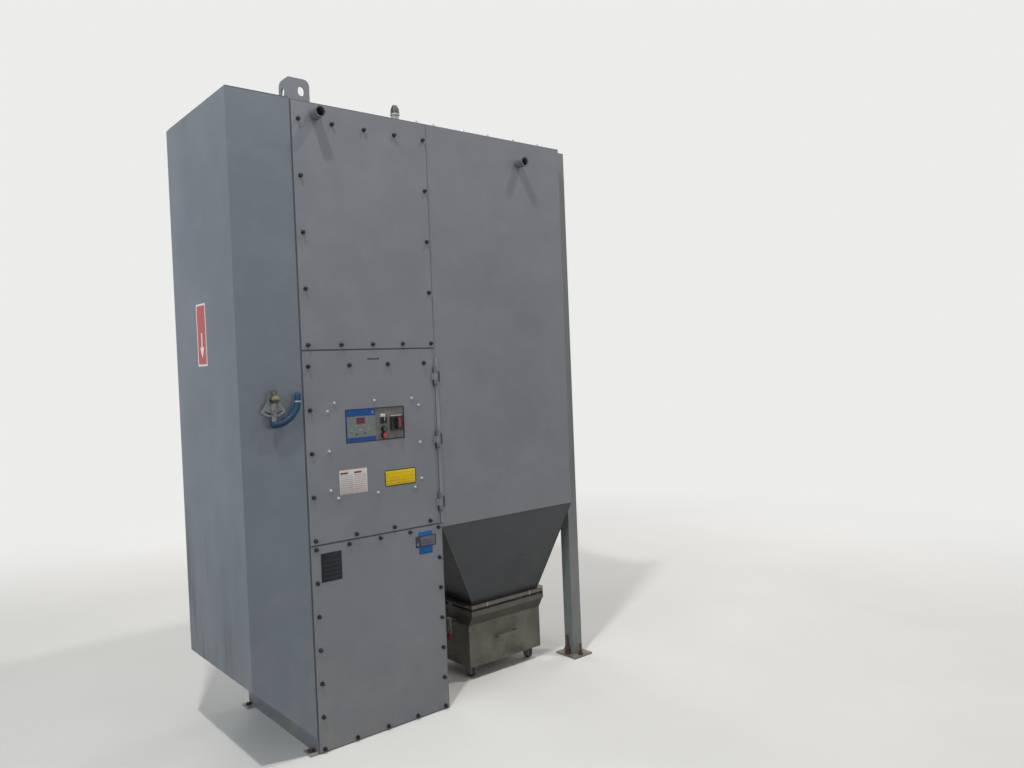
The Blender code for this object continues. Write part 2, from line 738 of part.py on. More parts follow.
def build_lever(m, axis, sector_back, arm_back, arm_front):
    """The arm from the shaft to the grip, with a clamp boss, its eye and a lock nut."""
    toward = Vector((math.cos(ARM_ANGLE), 0, math.sin(ARM_ANGLE)))
    side = ALONG_Y.cross(toward) * LEVER_ARM_WIDTH * HALF
    off_middle = (GRIP_RADIUS - LEVER_ARM_THICKNESS) * HALF
    grip_depth = math.sqrt(GRIP_RADIUS**TWICE - off_middle**TWICE)
    seat = GRIP_ARC_RADIUS - grip_depth - GRIP_SEAT
    spread = math.asin(LEVER_ARM_WIDTH * HALF / seat)
    points = [(axis.x - side.x, axis.z - side.z), (axis.x + side.x, axis.z + side.z)]
    points += arc((axis.x, axis.z), seat, ARM_ANGLE - spread, ARM_ANGLE + spread, ARM_POINTS)
    arm = outline(
        "damper_lever_arm",
        points,
        arm_front,
        arm_back,
        "Y",
        m["galvanised"],
        origin=axis,
    )
    boss_end = arm_front - DAMPER_BOSS_LENGTH
    eye = axis + ALONG_Z * EYE_RISE
    eye_y = arm_front - DAMPER_BOSS_LENGTH * HALF
    lock = axis + toward * SLOT_RADIUS
    join(
        arm,
        cylinder(
            "lever_boss",
            (axis.x, arm_back, axis.z),
            (axis.x, boss_end, axis.z),
            DAMPER_BOSS_RADIUS,
            origin=axis,
        ),
        cylinder(
            "lever_eye",
            (eye.x, eye_y + EYE_THICKNESS * HALF, eye.z),
            (eye.x, eye_y - EYE_THICKNESS * HALF, eye.z),
            EYE_RADIUS,
            origin=axis,
        ),
        cylinder(
            "lever_lock_nut",
            (lock.x, arm_front + SHEET * HALF, lock.z),
            (lock.x, arm_front - NUT_HEIGHT, lock.z),
            NUT_RADIUS,
            origin=axis,
            steps=NUT_STEPS,
        ),
        cylinder(
            "lever_lock_bolt",
            (lock.x, sector_back, lock.z),
            (lock.x, arm_front - NUT_HEIGHT - SHEET, lock.z),
            LOCK_RADIUS,
            origin=axis,
        ),
    )
    cut(
        arm,
        cylinder(
            "cut_eye",
            (eye.x, FRONT, eye.z),
            (eye.x, boss_end - CUT_OVER, eye.z),
            EYE_BORE,
            origin=axis,
        ),
        cylinder(
            "cut_arm_bore",
            (axis.x, arm_back + CUT_OVER, axis.z),
            (axis.x, arm_front - GAP, axis.z),
            DAMPER_SHAFT_RADIUS + PIN_CLEARANCE,
            origin=axis,
        ),
    )


def filter_heights():
    return [HOPPER_TOP + (HEIGHT - HOPPER_TOP) * share for share in FILTER_ROW_SHARES]


def build_housing(m):
    left = COLUMN_RIGHT + GAP
    right = HOUSING_RIGHT
    shell = box("filter_housing", (left, FRONT, HOPPER_TOP), (right, BACK, HEIGHT), m["grey_paint"])
    door_left = left + FILTER_DOOR_SIDE
    door_right = right - FILTER_DOOR_SIDE
    door_low = HOPPER_TOP + FILTER_DOOR_LOW
    door_high = HEIGHT - FILTER_DOOR_HIGH
    inset = FILTER_OPENING_INSET
    inlet_height = HEIGHT - INLET_DROP
    cut(
        shell,
        box(
            "cut_housing",
            (left + SHEET, FRONT + SHEET, HOPPER_TOP - CUT_OVER),
            (right - SHEET, BACK - SHEET, HEIGHT - SHEET),
        ),
        box(
            "cut_housing_left",
            (left - CUT_OVER, FRONT + FRAME_LIP, SHELF_TOP + FRAME_LIP),
            (left + CUT_OVER, BACK - FRAME_LIP, HEIGHT - FRAME_LIP),
        ),
        box(
            "cut_housing_back",
            (door_left + inset, BACK - CUT_OVER, door_low + inset),
            (door_right - inset, BACK + CUT_OVER, door_high - inset),
        ),
        cylinder(
            "cut_housing_inlet",
            (right - CUT_OVER, 0, inlet_height),
            (right + CUT_OVER, 0, inlet_height),
            INLET_COLLAR_RADIUS,
            steps=ROUND_STEPS,
        ),
    )
    build_filters(m, left + SHEET + GAP)
    bore = INLET_COLLAR_RADIUS - SHEET
    flange = INLET_COLLAR_RADIUS + INLET_FLANGE
    profile = [
        (bore, INLET_COLLAR_LENGTH),
        (INLET_COLLAR_RADIUS, INLET_COLLAR_LENGTH),
        (INLET_COLLAR_RADIUS, SHEET),
        (flange, SHEET),
        (flange, 0),
        (bore, 0),
        (bore, INLET_COLLAR_LENGTH),
    ]
    foot = (right + GAP, 0, inlet_height)
    turned("inlet_collar", profile, foot, ALONG_X, m["galvanised"])
    build_filter_door(m, door_left, door_right, door_low, door_high)


def build_filters(m, sheet_left):
    """The tube sheet, and a cartridge with its end caps on each of its holes."""
    sheet_right = sheet_left + SHEET
    plate = box(
        "tube_sheet",
        (sheet_left, FRONT + SHEET + GAP, SHELF_TOP + GAP),
        (sheet_right, BACK - SHEET - GAP, HEIGHT - SHEET - GAP),
        m["galvanised"],
    )
    radius = DEPTH * FILTER_RADIUS_SHARE
    paper = radius - FILTER_CAP_STEP
    bore = radius * FILTER_BORE_SHARE
    length = FILTER_WIDTH * FILTER_LENGTH_SHARE
    profile = [
        (0, length),
        (radius, length),
        (radius, length - FILTER_CAP),
        (paper, length - FILTER_CAP),
        (paper, FILTER_CAP),
        (radius, FILTER_CAP),
        (radius, 0),
        (bore, 0),
        (bore, length - FILTER_CAP),
        (0, length - FILTER_CAP),
    ]
    spread = DEPTH * FILTER_SPREAD_SHARE
    for row, height in enumerate(filter_heights(), start=NEXT):
        for label, across in (("front", -spread), ("back", spread)):
            name = label + "_" + str(row)
            near = (sheet_left - CUT_OVER, across, height)
            far = (sheet_right + CUT_OVER, across, height)
            cut(plate, cylinder("cut_sheet_" + name, near, far, radius * SHEET_HOLE_SHARE))
            foot = (sheet_right + GAP, across, height)
            paper_material = m["filter_paper"]
            turned("cartridge_" + name, profile, foot, ALONG_X, paper_material, steps=SMALL_STEPS)


def hinge_heights(low, high):
    return [low + (high - low) * share for share in HINGE_SHARES]


def knuckle(name, axis, low, high, radius):
    x, y = axis
    return cylinder(name, (x, y, low), (x, y, high), radius)


def hinge_tab(name, axis, tab, low, high):
    far_x, low_y, high_y = tab
    near_x = axis[0] + math.copysign(TAB_OVERLAP, axis[0] - far_x)
    return box(name, (min(near_x, far_x), low_y, low), (max(near_x, far_x), high_y, high))


def build_hinges(prefix, door, fixed, axis, door_tab, fixed_tab, heights):
    """Three pinned hinges: the middle knuckle turns with the door, the outer two stay.

    A tab is given as its far x, and its y from and to. It reaches from there to the axis.
    """
    half = KNUCKLE_LENGTH * HALF
    reach = half + GAP + KNUCKLE_LENGTH
    bore = PIN_RADIUS + PIN_CLEARANCE
    for index, height in enumerate(heights):
        label = prefix + str(index)
        low = height - reach
        high = height + reach
        join(
            door,
            knuckle(label + "_door_knuckle", axis, height - half, height + half, KNUCKLE_RADIUS),
            hinge_tab(label + "_door_tab", axis, door_tab, height - half, height + half),
        )
        cut(door, knuckle(label + "_door_bore", axis, low, high, bore))
        for step, start in enumerate((low, height + half + GAP)):
            end = start + KNUCKLE_LENGTH
            join(
                fixed,
                knuckle(label + "_fixed_knuckle" + str(step), axis, start, end, KNUCKLE_RADIUS),
                hinge_tab(label + "_fixed_tab" + str(step), axis, fixed_tab, start, end),
            )
        join(fixed, knuckle(label + "_pin", axis, low + SHEET, high - SHEET, PIN_RADIUS))


def build_filter_door(m, left, right, low, high):
    """A pan door on the back, hinged on the right, with two turning latch bars."""
    face = BACK + GAP
    outer = face + FILTER_DOOR_THICKNESS
    axis_x = right + KNUCKLE_RADIUS + PIN_RADIUS
    door = box(
        "filter_service_door",
        (left, face, low),
        (right, outer, high),
        m["grey_paint"],
        origin=(axis_x, outer, (low + high) * HALF),
    )
    cut(
        door,
        box(
            "cut_filter_door",
            (left + SHEET, face - CUT_OVER, low + SHEET),
            (right - SHEET, outer - SHEET, high - SHEET),
        ),
    )
    rail_left = axis_x + KNUCKLE_RADIUS
    rail = box(
        "filter_door_hinge_rail",
        (rail_left, face, low),
        (rail_left + RAIL_WIDTH, face + RAIL_THICKNESS, high),
        m["dark_steel"],
    )
    tab_high = outer - TAB_OVERLAP
    door_tab = (right - SHEET * HALF, outer - DOUBLE_SHEET, tab_high)
    fixed_tab = (rail_left + RAIL_THICKNESS, face + SHEET, tab_high)
    heights = hinge_heights(low, high)
    build_hinges("filter_hinge_", door, rail, (axis_x, outer), door_tab, fixed_tab, heights)
    length, width, depth = LATCH_BAR
    tip = BACK + REACH
    for index, share in enumerate(LATCH_SHARES, start=NEXT):
        centre = Vector((left + LATCH_INSET, outer + GAP, low + (high - low) * share))
        latch = cylinder(
            "filter_door_latch_" + str(index),
            centre,
            (centre.x, tip - GAP, centre.z),
            LATCH_RADIUS,
            m["black_plastic"],
            origin=centre,
        )
        bar = box(
            "latch_bar_" + str(index),
            (centre.x - width * HALF, tip - depth, centre.z - length),
            (centre.x + width * HALF, tip, centre.z + LATCH_RADIUS),
            origin=centre,
        )
        join(latch, bar)


def build_fan(m):
    ring_bore = INLET_RADIUS - SHEET - GAP
    ring_wall = INLET_RADIUS - GAP
    ring_rim = INLET_RADIUS + DOUBLE_SHEET
    ring_low = SHEET - IMPELLER_DROP
    profile = [
        (ring_bore, DOUBLE_SHEET),
        (ring_rim, DOUBLE_SHEET),
        (ring_rim, SHEET),
        (ring_wall, SHEET),
        (ring_wall, ring_low),
        (ring_bore, ring_low),
        (ring_bore, DOUBLE_SHEET),
    ]
    top = SHELF_TOP - SHEET
    foot = (COLUMN_MIDDLE, 0, top + GAP)
    turned("fan_inlet_ring", profile, foot, ALONG_Z, m["galvanised"])
    back_plate = top - IMPELLER_DROP - GAP - IMPELLER_HEIGHT
    build_impeller(m, Vector((COLUMN_MIDDLE, 0, back_plate)))
    build_motor(m, COLUMN_MIDDLE, back_plate - SHEET - GAP)


def build_impeller(m, foot):
    """A backward-curved fan wheel: a back plate, a coned front ring and blades between them."""
    rim = IMPELLER_HEIGHT * IMPELLER_RIM_SHARE
    profile = [
        (INLET_RADIUS, IMPELLER_HEIGHT - DOUBLE_SHEET),
        (INLET_RADIUS, IMPELLER_HEIGHT),
        (IMPELLER_RADIUS, rim + SHEET),
        (IMPELLER_RADIUS, rim),
        (INLET_RADIUS, IMPELLER_HEIGHT - DOUBLE_SHEET),
    ]
    ring = turned("impeller_ring", profile, foot, ALONG_Z, origin=foot)
    impeller = cylinder(
        "fan_impeller",
        foot,
        foot + ALONG_Z * SHEET,
        IMPELLER_RADIUS,
        m["galvanised"],
        origin=foot,
        steps=ROUND_STEPS,
    )
    hub = cylinder(
        "impeller_hub",
        foot - ALONG_Z * SHEET,
        foot + ALONG_Z * IMPELLER_HEIGHT * HALF,
        HUB_RADIUS,
        origin=foot,
    )
    join(impeller, hub, ring)
    blade_tip = IMPELLER_RADIUS - SHEET
    room = [
        (0, IMPELLER_HEIGHT - SHEET),
        (INLET_RADIUS, IMPELLER_HEIGHT - SHEET),
        (blade_tip, rim + SHEET * HALF),
        (blade_tip, SHEET * HALF),
        (0, SHEET * HALF),
    ]
    radii = evenly(INLET_RADIUS + SHEET, IMPELLER_RADIUS, BLADE_POINTS)
    turns = evenly(0, -BLADE_SWEEP, BLADE_POINTS)
    for index in range(BLADE_COUNT):
        first = FULL_TURN * index / BLADE_COUNT
        edges = []
        for side in (BLADE_THICKNESS * HALF, -BLADE_THICKNESS * HALF):
            edge = []
            for radius, turn in zip(radii, turns):
                angle = first + turn + side / radius
                edge.append((foot.x + radius * math.cos(angle), radius * math.sin(angle)))
            edges.append(edge)
        points = edges[0] + edges[-NEXT][::-NEXT]
        label = str(index)
        blade = outline("blade_" + label, points, foot.z, foot.z + IMPELLER_HEIGHT, "Z", origin=foot)
        combine(blade, turned("room_" + label, room, foot, ALONG_Z, origin=foot), "INTERSECT")
        join(impeller, blade)


def build_motor(m, x, top):
    """A finned motor with its flange upwards, its terminal box, and the stand under it."""
    foot = top - MOTOR_HEIGHT
    body_low = foot + MOTOR_END
    body_high = top - MOTOR_SHAFT - MOTOR_FLANGE_THICKNESS
    radii = (MOTOR_RADIUS, MOTOR_RADIUS, MOTOR_RADIUS + MOTOR_FIN, MOTOR_RADIUS + MOTOR_FIN)
    points = []
    for fin in range(MOTOR_FINS):
        for radius, share in zip(radii, MOTOR_FIN_SHARES):
            angle = FULL_TURN * (fin + share) / MOTOR_FINS
            points.append((x + radius * math.cos(angle), radius * math.sin(angle)))
    motor = outline("fan_motor", points, body_low, body_high, "Z", m["motor_paint"])
    flange_low = body_high - SHEET
    flange_high = body_high + MOTOR_FLANGE_THICKNESS
    width, depth, height = TERMINAL_BOX
    wide = MOTOR_RADIUS + MOTOR_FIN
    middle = (body_low + body_high) * HALF
    join(
        motor,
        cylinder("motor_end", (x, 0, foot), (x, 0, body_low + SHEET), MOTOR_RADIUS, steps=ROUND_STEPS),
        cylinder("motor_flange", (x, 0, flange_low), (x, 0, flange_high), wide, steps=ROUND_STEPS),
        cylinder("motor_shaft", (x, 0, body_high), (x, 0, top), SHAFT_RADIUS),
        box(
            "motor_terminals",
            (x + MOTOR_RADIUS - SHEET, -depth * HALF, middle - height * HALF),
            (x + MOTOR_RADIUS + width, depth * HALF, middle + height * HALF),
        ),
    )
    low = BASE_HEIGHT + GAP + SHEET + GAP
    high = foot - GAP
    stand_low = (x - STAND_REACH, -STAND_REACH, low)
    stand = box("motor_stand", stand_low, (x + STAND_REACH, STAND_REACH, high), m["dark_steel"])
    inside = STAND_REACH - STAND_PLATE
    cut(
        stand,
        box(
            "cut_stand",
            (x - STAND_REACH - CUT_OVER, -inside, low + STAND_PLATE),
            (x + STAND_REACH + CUT_OVER, inside, high - STAND_PLATE),
        ),
    )


def build_manifold(m):
    """A hollow header with a cross pipe at each filter row, and a nozzle at each cartridge."""
    x = COLUMN_RIGHT - NOZZLE_LENGTH - MANIFOLD_RADIUS * TWICE
    spread = DEPTH * FILTER_SPREAD_SHARE
    heights = filter_heights()
    pipe = cylinder(
        "air_manifold",
        (x, 0, heights[0] - MANIFOLD_RADIUS),
        (x, 0, HEIGHT - SHEET - GAP),
        MANIFOLD_RADIUS,
        m["galvanised"],
    )
    header_low = heights[0] - MANIFOLD_RADIUS + MANIFOLD_WALL
    header_high = HEIGHT - SHEET - GAP - MANIFOLD_WALL
    header_bore = MANIFOLD_RADIUS - MANIFOLD_WALL
    hollows = [cylinder("cut_header", (x, 0, header_low), (x, 0, header_high), header_bore)]
    cross_end = spread + CROSS_RADIUS
    for row, height in enumerate(heights):
        ends = ((x, -cross_end, height), (x, cross_end, height))
        join(pipe, cylinder("cross_" + str(row), *ends, CROSS_RADIUS))
        inner_end = cross_end - MANIFOLD_WALL
        ends = ((x, -inner_end, height), (x, inner_end, height))
        hollows.append(cylinder("cut_cross_" + str(row), *ends, CROSS_RADIUS - MANIFOLD_WALL))
        for label, side in (("front", -spread), ("back", spread)):
            name = label + "_" + str(row)
            start = (x, side, height)
            tip = (x + NOZZLE_LENGTH, side, height)
            past = (x + NOZZLE_LENGTH + CUT_OVER, side, height)
            bore = NOZZLE_RADIUS - MANIFOLD_WALL
            join(pipe, cylinder("nozzle_" + name, start, tip, NOZZLE_RADIUS, steps=NOZZLE_STEPS))
            hollows.append(cylinder("cut_nozzle_" + name, start, past, bore, steps=NOZZLE_STEPS))
    cut(pipe, *hollows)


def build_roof_fittings(m):
    foot = (COLUMN_LEFT + COLUMN_WIDTH * AIR_PORT_SHARE, FRONT + AIR_PORT_SETBACK, HEIGHT + GAP)
    top = AIR_PORT_HEIGHT + AIR_CAP_HEIGHT
    profile = [(0, top)]
    for width, share in AIR_CAP_SHARES[NEXT:]:
        profile.append((AIR_CAP_RADIUS * width, AIR_PORT_HEIGHT + AIR_CAP_HEIGHT * share))
    profile += [
        (AIR_CAP_RADIUS, AIR_PORT_HEIGHT),
        (AIR_PORT_RADIUS, AIR_PORT_HEIGHT),
        (AIR_PORT_RADIUS, 0),
        (0, 0),
    ]
    turned("air_supply_fitting", profile, foot, ALONG_Z, m["dark_steel"], steps=SMALL_STEPS)
    build_lug(m, "lifting_lug_front", (COLUMN_LEFT + GAP, FRONT), TO_RIGHT)
    build_lug(m, "lifting_lug_back", (HOUSING_RIGHT - GAP, BACK), TO_LEFT)


def build_lug(m, name, corner, inward):
    """A corner lug: two upright plates at a right angle, each with a rounded corner and an eye."""
    x, y = corner
    floor = HEIGHT + GAP
    top = floor + LUG_HEIGHT
    width_share, height_share = LUG_EYE_SHARES
    middle = floor + LUG_HEIGHT * height_share
    half = LUG_EYE_WIDTH * HALF
    straight = LUG_EYE_HEIGHT * HALF - half
    material = m["grey_paint"]
    plates = []
    eyes = []
    for label, axis, start, across, paint in (
        (name, "Y", x, y, material),
        (name + "_side", "X", y, x, None),
    ):
        end = start + inward * LUG_WIDTH
        round_spot = end - inward * LUG_CORNER
        points = [(start, floor), (end, floor)]
        for spot, up in arc((0, top - LUG_CORNER), LUG_CORNER, 0, QUARTER, LUG_CORNER_POINTS):
            points.append((round_spot + inward * spot, up))
        points.append((start, top))
        low, high = sorted((across, across + inward * LUG_THICKNESS))
        plates.append(outline(label, points, low, high, axis, paint))
        eye = start + inward * LUG_WIDTH * width_share
        upper = arc((eye, middle + straight), half, 0, HALF_TURN, LUG_CORNER_POINTS)
        lower = arc((eye, middle - straight), half, HALF_TURN, FULL_TURN, LUG_CORNER_POINTS)
        near = low - CUT_OVER
        far = high + CUT_OVER
        eyes.append(outline("cut_eye_" + label, upper + lower, near, far, axis))
    front, side = plates
    join(front, side)
    cut(front, *eyes)


def build_stubs(m):
    """Two short pipe ends on the front, closed at the panel and open outwards."""
    inner = STUB_RADIUS - STUB_WALL
    panel_face = FRONT - GAP - SHEET - GAP
    left_share, right_share = STUB_WIDTH_SHARES
    stubs = (
        ("front_pipe_stub_left", COLUMN_LEFT + COLUMN_WIDTH * left_share, LEFT_STUB_DROP, panel_face),
        ("front_pipe_stub_right", COLUMN_RIGHT + FILTER_WIDTH * right_share, RIGHT_STUB_DROP, FRONT - GAP),
    )
    for name, x, drop, face in stubs:
        length = face - (FRONT - REACH)
        profile = (
            (0, STUB_WALL),
            (inner, STUB_WALL),
            (inner, length),
            (STUB_RADIUS, length),
            (STUB_RADIUS, 0),
            (0, 0),
        )
        foot = (x, face, HEIGHT - drop)
        turned(name, profile, foot, -ALONG_Y, m["galvanised"], steps=SMALL_STEPS)


def build_legs(m):
    left = HOUSING_RIGHT + LEG_STANDOFF
    plate_left = HOUSING_RIGHT + GAP
    bore_left = left + LEG_WALL
    bore_right = left + LEG_SIDE - LEG_WALL
    middle_x = left + LEG_SIDE * HALF
    starts = (
        ("support_leg_front", FRONT + LEG_INSET),
        ("support_leg_back", BACK - LEG_INSET - LEG_SIDE),
    )
    for name, low_y in starts:
        high_y = low_y + LEG_SIDE
        middle = (low_y + high_y) * HALF
        leg = box(name, (left, low_y, 0), (left + LEG_SIDE, high_y, HEIGHT), m["grey_paint"])
        cut(
            leg,
            box(
                name + "_bore",
                (bore_left, low_y + LEG_WALL, LEG_PLATE_THICKNESS),
                (bore_right, high_y - LEG_WALL, HEIGHT + CUT_OVER),
            ),
        )
        half = LEG_PLATE_DEPTH * HALF
        join(
            leg,
            box(
                name + "_plate",
                (plate_left, middle - half, 0),
                (HOUSING_RIGHT + LEG_PLATE, middle + half, LEG_PLATE_THICKNESS),
            ),
        )
        for label, side in (("front", -ANCHOR_SHARE), ("back", ANCHOR_SHARE)):
            bolt_y = middle + side * LEG_PLATE_DEPTH
            low = (middle_x, bolt_y, LEG_PLATE_THICKNESS * HALF)
            high = (middle_x, bolt_y, ANCHOR_HEIGHT)
            join(leg, cylinder(name + "_anchor_" + label, low, high, ANCHOR_RADIUS))
        for index, share in enumerate(BRACKET_SHARES):
            height = HOPPER_TOP + (HEIGHT - HOPPER_TOP) * share
            low = (plate_left, low_y + BRACKET_INSET, height - BRACKET_HEIGHT * HALF)
            high = (left + LEG_WALL * HALF, high_y - BRACKET_INSET, height + BRACKET_HEIGHT * HALF)
            join(leg, box(name + "_bracket" + str(index), low, high))


def build_hopper(m):
    top = (COLUMN_RIGHT + GAP, HOUSING_RIGHT, FRONT, BACK)
    left_share, right_share = OUTLET_WIDTH_SHARES
    mouth = (
        COLUMN_RIGHT + FILTER_WIDTH * left_share,
        COLUMN_RIGHT + FILTER_WIDTH * right_share,
        FRONT + DEPTH * OUTLET_DEPTH_SHARE,
        BACK - DEPTH * OUTLET_DEPTH_SHARE,
    )
    mouth_left, mouth_right, mouth_front, mouth_back = mouth
    middle = ((mouth_left + mouth_right) * HALF, 0, HOPPER_BOTTOM)
    high = HOPPER_TOP - GAP
    hopper = loft("hopper", ((mouth, HOPPER_BOTTOM), (top, high)), middle, m["grey_paint"])
    over = CUT_OVER / (high - HOPPER_BOTTOM)
    inner_low = shrink(mouth, SHEET)
    inner_high = shrink(top, SHEET)
    low_ring = [a + (a - b) * over for a, b in zip(inner_low, inner_high)]
    high_ring = [b + (b - a) * over for a, b in zip(inner_low, inner_high)]
    levels = ((low_ring, HOPPER_BOTTOM - CUT_OVER), (high_ring, high + CUT_OVER))
    cut(hopper, loft("cut_hopper", levels, middle))

    outer = shrink(mouth, -HOPPER_FLANGE)
    left, right, front, back = outer
    flange_top = HOPPER_BOTTOM - GAP
    flange_low = flange_top - FLANGE_THICKNESS
    flange = ring_frame("hopper_outlet_frame", outer, mouth, flange_low, flange_top, m["grey_paint"])
    strips = (
        ("left", left - HOPPER_FLANGE, left + CATCH_REACH),
        ("right", right - CATCH_REACH, right + HOPPER_FLANGE),
    )
    for label, start, end in strips:
        near = (start, mouth_front, flange_top - HOOK_THICKNESS)
        join(flange, box("catch_strip_" + label, near, (end, mouth_back, flange_top)))
    seal_top = flange_low - GAP
    seal_low = seal_top - SEAL_THICKNESS
    seal = shrink(outer, GAP)
    ring_frame("bin_seal", seal, shrink(seal, SEAL_WIDTH), seal_low, seal_top, m["rubber"])
    return outer, seal_low - GAP


def build_bin(m, outer, lip_top):
    """A sheet bin: a narrow body, a shoulder that slopes out, and a folded lip under the seal."""
    left, right, front, back = outer
    middle = (left + right) * HALF
    origin = (middle, 0, lip_top)
    floor = CASTER_RADIUS * TWICE + GAP + FORK_TOP + DOUBLE_GAP + SWIVEL_HEIGHT
    lip_low = lip_top - LIP_HEIGHT
    body_top = lip_low - SHOULDER_HEIGHT
    body = (left + SHEET, right - SHEET, front + SHOULDER_INSET, back - SHOULDER_INSET)
    shoulder = shrink(outer, SHEET)
    levels = (
        (body, floor),
        (body, body_top),
        (shoulder, lip_low),
        (outer, lip_low),
        (outer, lip_top),
    )
    bin_body = loft("dust_bin", levels, origin, m["galvanised"])
    throat = shrink(outer, LIP_WIDTH)
    inside = (
        (shrink(body, SHEET), floor + SHEET),
        (shrink(body, SHEET), body_top),
        (shrink(shoulder, SHEET), lip_low),
        (shrink(shoulder, SHEET), lip_top - SHEET),
        (throat, lip_top - SHEET),
        (throat, lip_top + CUT_OVER),
    )
    cut(bin_body, loft("cut_bin", inside, origin))
    body_front = body[TWICE]
    pull_z = floor + (body_top - floor) * PULL_HEIGHT_SHARE
    half = PULL_WIDTH * HALF
    tip = body_front - PULL_REACH
    root = body_front + SHEET * HALF
    thick = PULL_THICKNESS
    points = (
        (middle - half, root),
        (middle - half, tip),
        (middle + half, tip),
        (middle + half, root),
        (middle + half - thick, root),
        (middle + half - thick, tip + thick),
        (middle - half + thick, tip + thick),
        (middle - half + thick, root),
    )
    low = pull_z - PULL_THICKNESS * HALF
    high = pull_z + PULL_THICKNESS * HALF
    join(bin_body, outline("bin_pull", points, low, high, "Z", origin=origin))
    build_casters(m, body, floor)
    build_clamps(m, outer, body, lip_top, bin_body, origin)


def build_casters(m, body, floor):
    left, right, front, back = shrink(body, CASTER_INSET)
    spots = (
        ("front_left", left, front),
        ("front_right", right, front),
        ("back_left", left, back),
        ("back_right", right, back),
    )
    yoke_top = floor - GAP - SWIVEL_HEIGHT
    yoke_low = CASTER_RADIUS * FORK_LOW_SHARE
    outer = CASTER_WIDTH * HALF + SHEET + DOUBLE_GAP
    inner = outer - SHEET
    reach = SWIVEL_RADIUS * HALF
    bore = PIN_RADIUS + PIN_CLEARANCE
    rim = CASTER_RADIUS - SHEET
    profile = [
        (bore, CASTER_WIDTH),
        (rim, CASTER_WIDTH),
        (CASTER_RADIUS, CASTER_WIDTH - SHEET),
        (CASTER_RADIUS, SHEET),
        (rim, 0),
        (bore, 0),
        (bore, CASTER_WIDTH),
    ]
    for label, x, y in spots:
        swivel = Vector((x, y, floor - GAP))
        fork = cylinder(
            "caster_fork_" + label,
            (x, y, yoke_top - FORK_TOP * HALF),
            swivel,
            SWIVEL_RADIUS,
            m["galvanised"],
            origin=swivel,
        )
        points = (
            (x - outer, yoke_low),
            (x - outer, yoke_top),
            (x + outer, yoke_top),
            (x + outer, yoke_low),
            (x + inner, yoke_low),
            (x + inner, yoke_top - FORK_TOP),
            (x - inner, yoke_top - FORK_TOP),
            (x - inner, yoke_low),
        )
        axle = Vector((x, y + CASTER_TRAIL, CASTER_RADIUS))
        pin_end = ALONG_X * (outer - SHEET * HALF)
        join(
            fork,
            outline("fork_sides_" + label, points, y - reach, axle.y + reach, "Y"),
            cylinder("fork_axle_" + label, axle - pin_end, axle + pin_end, PIN_RADIUS),
        )
        turned(
            "caster_wheel_" + label,
            profile,
            axle - ALONG_X * CASTER_WIDTH * HALF,
            ALONG_X,
            m["rubber"],
            origin=axle,
            steps=SMALL_STEPS,
        )


def build_clamps(m, outer, body, lip_top, bin_body, origin):
    """A latch lever on each side of the bin, with a hook over the frame's catch strip."""
    low_y = body[TWICE] + CLAMP_SETBACK
    high_y = low_y + CLAMP_WIDTH
    middle_y = (low_y + high_y) * HALF
    above = HOPPER_BOTTOM
    pivot_z = lip_top - LIP_HEIGHT - SHOULDER_HEIGHT * HALF
    base_low = pivot_z - LEVER_LENGTH * HALF
    bar = LEVER_THICKNESS * HALF
    grip = CLAMP_GRIP_THICKNESS * HALF
    grip_top = pivot_z - LEVER_LENGTH + SHEET
    for label, wall, edge, side in (
        ("left", body[0], outer[0], TO_LEFT),
        ("right", body[NEXT], outer[NEXT], TO_RIGHT),
    ):
        strap_in = edge + side * (HOPPER_FLANGE + PIN_RADIUS)
        strap_out = strap_in + side * HOOK_THICKNESS
        pivot_x = strap_out + side * (LEVER_PIN_RADIUS + GAP)
        inner = wall - side * SHEET * HALF
        hook_tip = strap_in - side * HOOK_TURN
        hook_top = above + HOOK_THICKNESS
        points = (
            (inner, base_low),
            (strap_out, base_low),
            (strap_out, hook_top),
            (hook_tip, hook_top),
            (hook_tip, above),
            (strap_in, above),
            (strap_in, pivot_z),
            (inner, pivot_z),
        )
        join(bin_body, outline("clamp_bracket_" + label, points, low_y, high_y, "Y", origin=origin))
        pivot = Vector((pivot_x, middle_y, pivot_z))
        lever = cylinder(
            "clamp_lever_" + label,
            (pivot_x, low_y, pivot_z),
            (pivot_x, high_y, pivot_z),
            LEVER_PIN_RADIUS,
            m["steel"],
            origin=pivot,
        )
        grip_x = pivot_x + side * SHEET
        join(
            lever,
            box(
                "lever_bar_" + label,
                (pivot_x - bar, low_y + SHEET, pivot_z - LEVER_LENGTH),
                (pivot_x + bar, high_y - SHEET, pivot_z),
                origin=pivot,
            ),
            box(
                "lever_grip_" + label,
                (grip_x - grip, low_y + SHEET * HALF, grip_top - SHEET - CLAMP_GRIP),
                (grip_x + grip, high_y - SHEET * HALF, grip_top),
                origin=pivot,
            ),
        )


